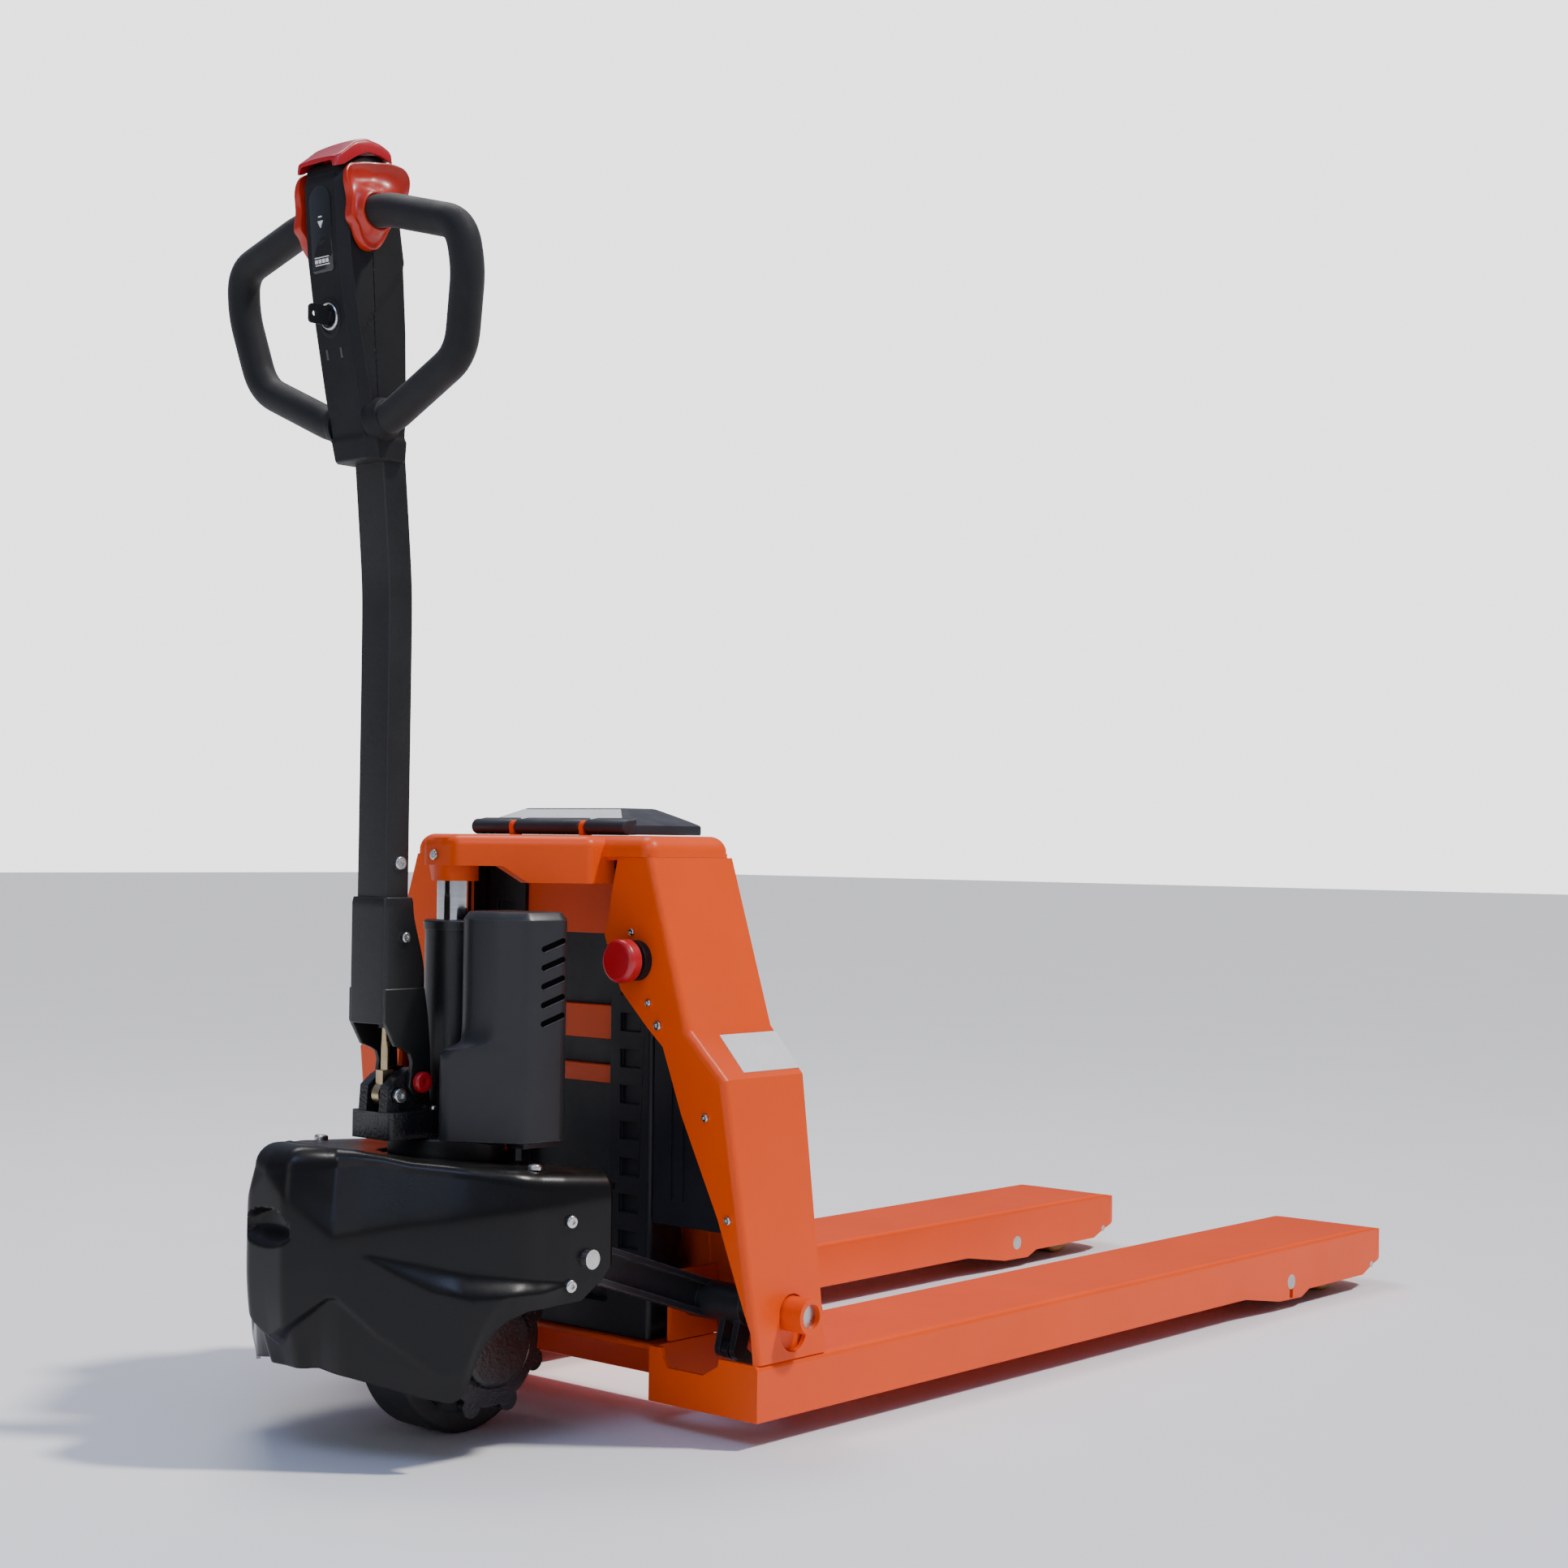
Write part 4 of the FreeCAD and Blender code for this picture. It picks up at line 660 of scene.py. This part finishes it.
# Speed lever by angle round the loop's axis: how far a wing reaches, where its rim is and how deep it dips.
WING_REACH = [(-180, 26), (-160, 28), (-140, 25), (-118, 31), (-100, 36), (-80, 34), (-60, 27), (-40, 23),
              (-15, 23), (8, 27), (25, 38), (38, 50), (50, 58), (62, 56), (78, 50), (92, 48), (108, 47),
              (122, 49), (134, 43), (150, 30), (165, 26), (180, 26)]
WING_RIM = [(-180, 43), (-150, 44), (-110, 43), (-80, 42), (-40, 43), (0, 45), (28, 47), (50, 48), (64, 44),
            (80, 37), (100, 35.5), (118, 35.5), (132, 38), (150, 42), (180, 43)]
WING_SAG = [(-180, 1.0), (-60, 1.5), (0, 2.0), (30, 6.0), (55, 8.0), (90, 7.0), (118, 6.0), (140, 2.0),
            (180, 1.0)]


def around(table, angle, spread):
    """Table value at an angle, softened over its neighbours."""
    turns = [angle + spread * k / 3 for k in range(-3, 4)]
    return sum(interpolate(table, (turn + 180) % 360 - 180) for turn in turns) / 7


def speed_lever():
    """Butterfly lever: a dished wing on each side of the head, joined by a sleeve round the loop's axis."""
    bm = bmesh.new()
    root_y = 49.0
    for side in (-1, 1):
        rows = []
        for k in range(180):
            angle = -180 + 2 * k
            reach = around(WING_REACH, angle, 7)
            rim = around(WING_RIM, angle, 8)
            sag = around(WING_SAG, angle, 8)
            section = [(19.2, 32.2), (reach - 2.0, 32.2), (reach - 0.5, 32.8), (reach, 34.0)]
            inner = reach - 1.6
            section += [(reach, max(34.3, rim - 1.6)), (reach - 0.5, max(34.8, rim - 0.5)), (inner, rim)]
            for t in (0.08, 0.18, 0.30, 0.42, 0.55, 0.68, 0.80, 0.91, 1.0):
                r = inner + (18.6 - inner) * t
                y = rim + (root_y - rim) * t ** 2.2 - sag * math.sin(math.pi * min(1.0, t * 1.05)) * 0.8
                section.append((r, max(33.4, y)))
            section += [(17.4, root_y + 0.4), (16.0, root_y), (16.0, 33.5), (17.2, 32.2)]
            a = math.radians(angle)
            rows.append([bm.verts.new(at(LOOP_AXIS_X + r * math.cos(a), side * y, LOOP_TOP + r * math.sin(a)))
                         for r, y in section])
        grid_faces(bm, rows, closed_u=True, closed_v=True)
    turns = [math.radians(6 * k) for k in range(60)]
    rows = [[bm.verts.new(at(LOOP_AXIS_X + r * math.cos(a), y, LOOP_TOP + r * math.sin(a))) for a in turns]
            for y, r in ((-33.4, 16.2), (-33.4, 18.5), (33.4, 18.5), (33.4, 16.2))]
    grid_faces(bm, rows, closed_u=True, closed_v=True)
    make_object("speed_lever", bm, "throttle", "orange_plastic", ("throttle_butterfly",), 32.0)


# Heights of the cap's top and of its bottom edge, by the share of its length from the front.
CAP_TOP = [(0.0, 1210.0), (0.10, 1214.0), (0.32, 1221.5), (0.50, 1223.0), (0.75, 1221.0), (0.90, 1217.0),
           (1.0, 1211.0)]
CAP_LOW = [(0.0, 1201.0), (0.12, 1201.3), (0.30, 1205.5), (0.50, 1208.6), (0.72, 1207.6), (0.90, 1204.0),
           (1.0, 1202.6)]


def reversing_cap():
    """Arched cap over the end of the head, hollow below, on two stems."""
    bm = bmesh.new()
    rows = []
    for k in range(37):
        t = k / 36
        x = -421.0 + 71.0 * t
        tail = smooth(0.86, 1.0, t)
        half = 30.5 - 4.0 * (1 - smooth(0.0, 0.06, t)) ** 2 - 7.0 * tail ** 2
        top = sum(interpolate(CAP_TOP, t + shift) for shift in (-0.03, 0.0, 0.03)) / 3
        top -= head_drop(x)
        low = interpolate(CAP_LOW, t) - head_drop(x)
        shoulder = min(3.0 + 4.5 * smooth(0.2, 0.5, t), 0.6 * (top - low))
        flat = half - shoulder * 0.9
        ring = []
        for q in (0.0, 0.35, 0.7, 1.0):
            ring.append((flat * q, top + 1.2 * (1 - q * q)))
        for q in (15, 30, 45, 60, 75, 90):
            a = math.radians(q)
            ring.append((flat + (half - flat) * math.sin(a), top - shoulder * (1 - math.cos(a))))
        ring.append((half + 0.5, 0.5 * (top - shoulder + low)))
        ring += [(half + 0.3, low + 0.6), (half - 0.6, low), (half - 1.9, low + 0.1), (half - 2.4, low + 0.8)]
        ceiling = max(low + 0.9, top - 3.2)
        ring += [(half - 3.6, max(low + 0.9, ceiling - 1.5)), (half - 6.0, ceiling), (0.5 * flat, ceiling)]
        full = [(-y, z) for y, z in ring] + [(y, z) for y, z in reversed(ring[1:])]
        rows.append([bm.verts.new(at(x, y, z)) for y, z in full])
    capped(bm, rows)
    for x in (-399.0, -369.0):
        lofted(bm, [[at(x - 5, -10, z), at(x + 5, -10, z), at(x + 5, 10, z), at(x - 5, 10, z)]
                    for z in (1184, 1211)])
    make_object("reversing_cap", bm, "belly", "red_plastic", ("belly_button",), 34.0)


def on_face(y, z, lift):
    """A point over the head's leaning front face."""
    return at(interpolate(HEAD_FRONT, z) - 0.6 - lift, y, z)


def face_patch(bm, outline, low, high, inset=0.5):
    """Thin plate with a softened rim that follows the head's front face; outline is (y, z) points."""
    cy = sum(p[0] for p in outline) / len(outline)
    cz = sum(p[1] for p in outline) / len(outline)
    rows = []
    for lift, shrink in ((low, 0.0), (high - 0.25, 0.0), (high, inset)):
        row = []
        for y, z in outline:
            reach = math.hypot(y - cy, z - cz)
            k = (reach - shrink) / reach
            row.append(bm.verts.new(on_face(cy + (y - cy) * k, cz + (z - cz) * k, lift)))
        rows.append(row)
    capped(bm, rows)


def arc_points(cu, cv, radius, start, end, count):
    """Points along an arc about a centre, between two angles in degrees."""
    angles = [math.radians(start + (end - start) * k / count) for k in range(count + 1)]
    return [(cu + radius * math.cos(a), cv + radius * math.sin(a)) for a in angles]


def bar(bm, y0, y1, z0, z1, low=0.3, high=0.85, inset=0.1):
    """Small rectangular mark on the head's front face."""
    face_patch(bm, [(y0, z0), (y1, z0), (y1, z1), (y0, z1)], low, high, inset)


def display():
    """Display window, its generic marks, and the two slots below the key."""
    bm = bmesh.new()
    outline = arc_points(0, 1160, 15.5, 0, 180, 20) + arc_points(-11.5, 1100, 4, 180, 270, 5)
    outline += arc_points(11.5, 1100, 4, 270, 360, 5)
    face_patch(bm, outline, -1.4, 0.7, 0.9)
    make_object("display_window", bm, "tiller", "display_black", ("display_panel",), 40.0)
    bm = bmesh.new()
    for k in range(4):
        y = -9.0 + 5.2 * k
        bar(bm, y, y + 3.8, 1104.5, 1108.0, inset=0.2)
    bar(bm, -10.2, 10.2, 1109.2, 1110.0)
    bar(bm, -10.2, 10.2, 1102.4, 1103.2)
    face_patch(bm, [(0.0, 1096.6), (3.2, 1099.6), (-3.2, 1099.6)], -0.5, 0.25, 0.2)
    bar(bm, -2.4, 2.4, 1146.2, 1147.4)
    face_patch(bm, [(0.0, 1136.5), (3.8, 1143.0), (-3.8, 1143.0)], 0.3, 0.85, 0.2)
    make_object("display_marks", bm, "tiller", "label_white")
    bm = bmesh.new()
    for y in (-11.5, 9.0):
        bar(bm, y, y + 3.0, 1018.0, 1027.0, -0.6, 0.12, 0.2)
    make_object("head_slots", bm, "tiller", "display_black")


def face_ring(profile, z, tall=1.0):
    """Mesh of a ring on the head's front face; profile is (radius, lift) round its section."""
    bm = bmesh.new()
    angles = [2 * math.pi * k / 64 for k in range(64)]
    rows = [[bm.verts.new(on_face(r * math.cos(a), z + tall * r * math.sin(a), lift)) for a in angles]
            for r, lift in profile]
    grid_faces(bm, rows, closed_u=True, closed_v=True)
    return bm


def key_ring():
    """Plated ring of the key switch and the moulded surround outside it."""
    plated = [(10.6, -0.8), (10.6, 1.3), (11.1, 1.9), (11.9, 1.9), (12.5, 1.3), (12.8, 0.2), (12.8, -0.8)]
    make_object("key_ring", face_ring(plated, 1056.0), "tiller", "zinc_steel")
    moulded = [(16.0, -0.6), (16.0, 0.35), (15.6, 0.6), (13.1, 0.6), (12.9, 0.0), (12.9, -0.6)]
    make_object("key_surround", face_ring(moulded, 1055.0, 1.15), "tiller", "tiller_plastic")


# ---------------- tiller post
def post_section(x0, x1, half, z, corner, steps=4):
    """Rounded rectangle at a height."""
    points = []
    for cx, cy, start in ((x1 - corner, half - corner, 0), (x0 + corner, half - corner, 90),
                          (x0 + corner, -half + corner, 180), (x1 - corner, -half + corner, 270)):
        for k in range(steps + 1):
            a = math.radians(start + 90 * k / steps)
            points.append(at(cx + corner * math.cos(a), cy + corner * math.sin(a), z))
    return points


def tiller_post():
    """Pressed steel post: straight below, leaning to the operator above, with a softened bend."""
    bm = bmesh.new()
    sections = []
    for k in range(46):
        z = 500.0 + 440.0 * k / 45
        lean = 0.0963 * 0.5 * ((z - 808.0) + math.sqrt((z - 808.0) ** 2 + 24.0 ** 2))
        sections.append(post_section(-341.5 - lean, -313.0 - lean, 21.3, z, 2.6))
    lofted(bm, sections)
    make_object("tiller_post", bm, "tiller", "black_paint", ("tiller_tube",), 30.0)


# Right half of the handle loop's centre line (y, z) before its corners are rounded.
LOOP_PATH = [(8, 1150), (62, 1150), (160, 1123), (164, 1082), (145, 1009), (46, 965), (8, 958)]
LOOP_RADII = [110, 46, 90, 46, 70]


def handle_loop():
    """Rubber-covered loop: nearly straight runs joined by rounded corners, leaning with the head."""
    path = rounded_outline(LOOP_PATH, LOOP_RADII, 4.0)
    bm = bmesh.new()
    for side in (-1, 1):
        sections = []
        for i, (y, z) in enumerate(path):
            along = heading(path, i)
            across = Vector((LOOP_LEAN * along.x, along.y * side, -along.x)).normalized()
            axis = Vector((-LOOP_LEAN * along.y, side * along.x, along.y)).normalized()
            out = across.cross(axis)
            centre = Vector((LOOP_AXIS_X + (LOOP_TOP - z) * LOOP_LEAN, side * y, z))
            sections.append([at(*(centre + (across * math.cos(a) + out * math.sin(a)) * LOOP_RADIUS))
                             for a in (2 * math.pi * k / 40 for k in range(40))])
        lofted(bm, sections)
    make_object("handle_loop", bm, "tiller", "grip_rubber", ("handle_grip",), 40.0)


def round_loop(points, radius, steps=4):
    """Closed outline with every corner rounded by the same number of points."""
    out = []
    count = len(points)
    for i, corner in enumerate(points):
        corner = Vector(corner)
        a = Vector(points[i - 1]) - corner
        b = Vector(points[(i + 1) % count]) - corner
        reach = min(radius, 0.42 * a.length, 0.42 * b.length)
        start, end = corner + a.normalized() * reach, corner + b.normalized() * reach
        for k in range(steps + 1):
            t = k / steps
            out.append(start * (1 - t) ** 2 + corner * 2 * t * (1 - t) + end * t * t)
    return out


def shrunk(outline, amount):
    """Counter-clockwise outline moved inwards by an amount."""
    out = []
    count = len(outline)
    for i, point in enumerate(outline):
        a, b = outline[i - 1], outline[(i + 1) % count]
        tangent = (b - a).normalized()
        out.append(point + Vector((-tangent.y, tangent.x)) * amount)
    return out


def stacked(bm, levels):
    """Skin through outlines at heights, closed below and above; levels are (z, outline)."""
    lofted(bm, [[at(p[0], p[1], z) for p in outline] for z, outline in levels])


# ---------------- pump cover
# Plan outlines of the pump cover below and above its ledge, from the steering axis.
COVER_LOW = [(-66, -53), (-66, -65), (-26, -132), (18, -138), (30, -126), (30, -44), (-28, -44), (-44, -53)]
COVER_HIGH = [(-46, -72), (-43, -104), (-26, -132), (18, -138), (30, -126), (30, -44), (-24, -44), (-40, -56)]

COVER_LEDGE = [(369.2, 0.015), (373.6, 0.13), (374.5, 0.20), (376.4, 0.42), (378.4, 0.62), (380.6, 0.76),
               (384.0, 0.87), (389.0, 0.945), (395.0, 0.98), (402.0, 1.0)]
COVER_CHAMFER = [(497.0, 0.5), (502.2, 4.6), (503.2, 5.6), (503.6, 9.0)]


def pump_cover():
    """Two-step moulded cover with light-catching chamfers and a filleted ledge."""
    low = round_loop([(STEER_X + x, y) for x, y in COVER_LOW], 7.0)
    high = round_loop([(STEER_X + x, y) for x, y in COVER_HIGH], 7.0)

    def blend(m):
        return [a.lerp(b, m) for a, b in zip(low, high)]

    levels = [(288.0, shrunk(low, 0.8)), (288.8, low)]
    levels += [(300.0 + 8.0 * k, low) for k in range(9)]
    levels += [(368.5, low)]
    levels += [(z, blend(m)) for z, m in COVER_LEDGE]
    levels += [(410.0 + 8.0 * k, high) for k in range(11)]
    levels += [(496.0, high)]
    levels += [(z, shrunk(high, inset)) for z, inset in COVER_CHAMFER]
    bm = bmesh.new()
    stacked(bm, levels)
    make_object("pump_cover_shell", bm, "steer", "cover_plastic", ("pump_cover",), 24.0)
    # The slot bars are painted shade: a flat near-black bar stands for the shade inside each vent opening,
    # with lips round it.
    for name, thick, shift, proud, material in (("cover_slots", 2.6, 0.0, 0.35, "vent_painted_shade"),
                                                ("cover_slot_lips", 0.45, -3.1, 0.6, "cover_plastic")):
        bm = bmesh.new()
        for i in range(5):
            vent_slot(bm, 473.0 - 17.5 * i, thick, shift, proud)
        slot = "display_black" if material == "vent_painted_shade" else material
        make_object(name, bm, "steer", slot, material=material)


def vent_slot(bm, centre_z, thick, shift, proud):
    """Slanted round-ended bar let into the cover's side; shift moves it across its own length."""
    turn = math.radians(19.0)
    rows = []
    for lift in (-1.5, proud):
        row = []
        for side in (1, -1):
            for k in range(9):
                a = math.radians(-90 * side + 22.5 * k)
                u = side * 11.5 + thick * math.cos(a)
                v = thick * math.sin(a) + shift
                x = -233.0 + u * math.cos(turn) - v * math.sin(turn)
                z = centre_z + u * math.sin(turn) + v * math.cos(turn)
                face_y = -132.0 - 6.0 * (x - (STEER_X - 26)) / 44.0
                row.append(bm.verts.new(at(x, face_y - lift, z)))
        rows.append(row)
    capped(bm, rows)


def cable_end():
    """Short end of red cable under the pump cover."""
    bm = bmesh.new()
    sections = []
    for k in range(13):
        t = k / 12
        x, y = -264.0 + 8.0 * t, -108.0 + 5.0 * math.sin(2.6 * t)
        z = 288.0 - 6.0 * math.sin(math.pi * t)
        sections.append([at(x + 1.05 * math.cos(a), y + 2.1 * math.cos(a), z + 2.1 * math.sin(a))
                         for a in (2 * math.pi * q / 12 for q in range(12))])
    lofted(bm, sections)
    make_object("cable_end", bm, "steer", "red_plastic")


# ---------------- battery lid
def rounded_rectangle(x0, x1, y0, y1, radius):
    return round_loop([(x0, y0), (x1, y0), (x1, y1), (x0, y1)], radius, 5)


LID_HIP = [(588.6, 0.05), (592.0, 0.23), (596.0, 0.46), (600.0, 0.70), (603.6, 0.92), (604.7, 1.0)]


def battery_lid():
    """Hipped lid with a rolled front edge in three lengths between the hinge lugs."""
    bm = bmesh.new()
    rim = rounded_rectangle(-106, -4, -114, 114, 9)
    crown = rounded_rectangle(-66, -20, -62, 86, 6)

    def hip(m):
        return [a.lerp(b, m) for a, b in zip(rim, crown)]

    levels = [(578.0, shrunk(rim, 1.0)), (579.0, rim), (585.5, rim), (587.4, shrunk(rim, 0.5))]
    levels += [(z, hip(m)) for z, m in LID_HIP]
    stacked(bm, levels + [(605.0, shrunk(crown, 3.0))])
    for y0, y1 in ((-112.0, -54.8), (-47.2, 47.2), (54.8, 112.0)):
        profile = []
        for k in range(15):
            a = math.radians(78 + 204 * k / 14)
            profile.append((-110.0 + 8.2 * math.cos(a), 585.2 + 8.0 * math.sin(a)))
        profile += [(-99.0, 577.6), (-99.0, 594.6)]
        mid_x, mid_z = -106.0, 585.5
        ends = ((y0, 0.80), (y0 + 0.7, 0.94), (y0 + 2.0, 1.0), (y1 - 2.0, 1.0), (y1 - 0.7, 0.94), (y1, 0.80))
        lofted(bm, [[at(mid_x + (px - mid_x) * k, y, mid_z + (pz - mid_z) * k) for px, pz in profile]
                    for y, k in ends])
    make_object("battery_lid_shell", bm, "lid", "lid_plastic", ("battery_lid",), 28.0)


def hood_welds():
    """Filled weld between each column and the hood that sits on it."""
    bm = bmesh.new()
    for side in (-1, 1):
        ring = rounded_rectangle(-141.4, -25.6, 104.0, 171.4, 11)
        lofted(bm, [[at(p.x, side * p.y, z) for p in ring] for z in (553.0, 556.2, 560.0)])
    make_object("hood_welds", bm, frame["nodes"]["front_hood"]["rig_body"], "orange_paint")


# ---------------- tiller sleeve
def sleeve():
    """Folded steel guard at the foot of the post, with the two pivot cheeks."""
    bm = bmesh.new()
    outer, inner = [], []
    for k in range(24):
        z = 397.0 + (516.0 - 397.0) * k / 23
        grow = 0.9 * smooth(0, 1, (516.0 - z) / 2.0) - 0.9
        rear = -309.0 + 15.0 * smooth(512.0, 440.0, z)
        outer.append(post_section(-345.5 - grow, rear + grow, 26.0 + grow, z, 5.0, 5))
        inner.append(post_section(-343.0, rear - 3.0, 23.2, z, 3.0, 5))
    rows_out, rows_in = ([[bm.verts.new(p) for p in row] for row in rows] for rows in (outer, inner))
    grid_faces(bm, rows_out, closed_u=True)
    grid_faces(bm, rows_in, closed_u=True)
    for top in (-1, 0):
        grid_faces(bm, [rows_out[top], rows_in[top]], closed_u=True)
    outline = [(-344.5, 430.0), (-344.5, 399.0), (-331.0, 376.0), (-320.0, 372.0)]
    outline += [(-313.0, 368.0), (-310.4, 360.0), (-312.0, 348.0)]
    outline += arc_points(-300.0, 341.0, 14, 195, 375, 12)
    outline += [(-288.0, 372.0), (-291.0, 402.0), (-296.0, 430.0)]
    for side in (-1, 1):
        lofted(bm, [[at(x, side * y, z) for x, z in outline] for y in (21.8, 26.4)])
    piece = make_object("tiller_guard", bm, "tiller", "black_paint", ("tiller_sleeve",), 30.0)
    bevelled(piece, 0.7, 2, 50.0)


# ---------------- lid dressing
def lid_panel():
    """Blank white plate on the long front slope of the battery lid."""
    def slope(m, y, lift):
        return at(-106.0 + 40.0 * m - 0.37 * lift, y, 588.6 + 16.1 * m + 0.93 * lift)

    bm = bmesh.new()
    rows = []
    for lift, inset in ((-0.4, 0.0), (0.5, 0.0), (0.8, 0.5)):
        row = []
        for m, y in ((0.16, -92.0), (0.90, -60.0), (0.90, 84.0), (0.16, 98.0)):
            row.append(bm.verts.new(slope(m + (0.012 if m < 0.5 else -0.012) * inset,
                                          y - math.copysign(inset, y), lift)))
        rows.append(row)
    capped(bm, rows)
    make_object("lid_panel", bm, "lid", "label_white")


# ---------------- camera, light and floor
CAMERA_AT = (-1842.2, -1825.0, 572.2)
CAMERA_YAW, CAMERA_PITCH, CAMERA_ROLL = 41.108, 1.357, 0.722
LENS = 56.65


def camera():
    """Long-lens view from the operator's side, a little below the top of the truck."""
    yaw, pitch, roll = (math.radians(a) for a in (CAMERA_YAW, CAMERA_PITCH, CAMERA_ROLL))
    forward = Vector((math.cos(pitch) * math.cos(yaw), math.cos(pitch) * math.sin(yaw), math.sin(pitch)))
    side = Vector((math.sin(yaw), -math.cos(yaw), 0.0))
    up = side.cross(forward)
    right = side * math.cos(roll) + up * math.sin(roll)
    top = up * math.cos(roll) - side * math.sin(roll)
    data = bpy.data.cameras.new("view")
    data.lens = LENS
    data.clip_start = 0.05
    eye = placed("view", data)
    turn = Matrix((right, top, -forward)).transposed().to_4x4()
    eye.matrix_world = Matrix.Translation(at(*CAMERA_AT)) @ turn
    bpy.context.scene.camera = eye


def lamp(name, kind, power, colour, toward):
    """A light that shines from a direction."""
    data = bpy.data.lights.new(name, kind)
    data.energy = power
    data.color = colour
    item = placed(name, data)
    item.rotation_euler = (-toward).to_track_quat("-Z", "Y").to_euler()
    return item


def area_light(name, place, aim, power, size, colour):
    """A rectangular light at a place, turned to what it lights."""
    item = lamp(name, "AREA", power, colour, Vector(place) - Vector(aim))
    item.data.shape = "RECTANGLE"
    item.data.size, item.data.size_y = size
    item.location = place


def sun(name, azimuth, elevation, strength, spread, colour):
    """A distant light shining from a compass direction."""
    az, el = math.radians(azimuth), math.radians(elevation)
    toward = Vector((math.cos(el) * math.cos(az), math.cos(el) * math.sin(az), math.sin(el)))
    lamp(name, "SUN", strength, colour, toward).data.angle = math.radians(spread)


def studio():
    """Hard key from the fork side, weak fills, and a pale background that lights the truck only a little."""
    sun("key", -56, 55, 2.9, 5, (1.0, 0.955, 0.90))
    area_light("fill", (-3.6, -1.0, 1.4), (-0.4, 0, 0.5), 8, (1.4, 1.2), (1.0, 0.96, 0.92))
    area_light("sky", (-2.7, -2.0, 3.3), (-0.5, 0, 0.3), 44, (2.0, 1.3), (0.46, 0.60, 1.0))
    area_light("top", (0.0, 1.0, 3.4), (-0.4, 0, 0.4), 42, (1.4, 1.0), (1.0, 0.98, 0.95))
    world = bpy.data.worlds.new("studio")
    bpy.context.scene.world = world
    world.use_nodes = True
    tree = world.node_tree
    background = tree.nodes["Background"]
    coords = tree.nodes.new("ShaderNodeTexCoord")
    split = tree.nodes.new("ShaderNodeSeparateXYZ")
    link(tree, coords.outputs["Generated"], split.inputs[0])
    height = ramp(tree, split.outputs["Z"], -0.10, 0.80)
    sky = mix(tree, height, (0.12, 0.11, 0.10), (0.27, 0.32, 0.48))
    path = tree.nodes.new("ShaderNodeLightPath")
    seen = mix(tree, path.outputs["Is Camera Ray"], sky, (2.6, 2.6, 2.6))
    link(tree, seen, background.inputs["Color"])
    background.inputs["Strength"].default_value = 1.0


def floor():
    """Plain pale floor at the wheels."""
    bm = bmesh.new()
    bmesh.ops.create_grid(bm, x_segments=2, y_segments=2, size=30.0)
    mesh = bpy.data.meshes.new("floor")
    bm.to_mesh(mesh)
    bm.free()
    plane = placed("floor", mesh)
    pale = finish_material("pale_floor", (0.90, 0.90, 0.89), 0.75, vary=0.01, vary_scale=2.0)
    mesh.materials.append(pale)


# ---------------- build
camera()
studio()
floor()
bumper_cover()
head_casing()
head_crown()
loop_collars()
speed_lever()
reversing_cap()
display()
key_ring()
handle_loop()
tiller_post()
sleeve()
pump_cover()
cable_end()
hood_welds()
battery_lid()
lid_panel()

# The link arms are black paint; they get the lighter pump-cover moulding as painted light, to lift the shade
# they sit in.
PAINTED_LIGHT_LIFT = {"link_arm_right": "cover_plastic", "link_arm_left": "cover_plastic"}
REFINED = {                                    # CAD node and the width its edges are rounded to
    "fork_right": 2.2, "fork_left": 2.2, "column_right": 1.8, "column_left": 1.8, "front_hood": 2.5,
    "cross_member": 2.0, "load_backplate": 1.0, "battery_straps": 1.0, "battery_case": 1.6,
    "tiller_base": 1.8, "turntable_yoke": 1.5, "link_arm_right": 1.6, "link_arm_left": 1.6,
}
for node, width in REFINED.items():
    refined(node, width, PAINTED_LIGHT_LIFT.get(node))
DARK_NODES = {"lift_button": "display_black", "lower_button": "display_black",
              "key_switch": "display_black", "ignition_key": "grip_rubber", "drive_hub": "cast_black"}
for node, piece in frame["nodes"].items():
    if not piece.hide_render:
        piece.data.materials.clear()
        piece.data.materials.append(MATERIALS[DARK_NODES.get(node, SLOT_OF[node])])
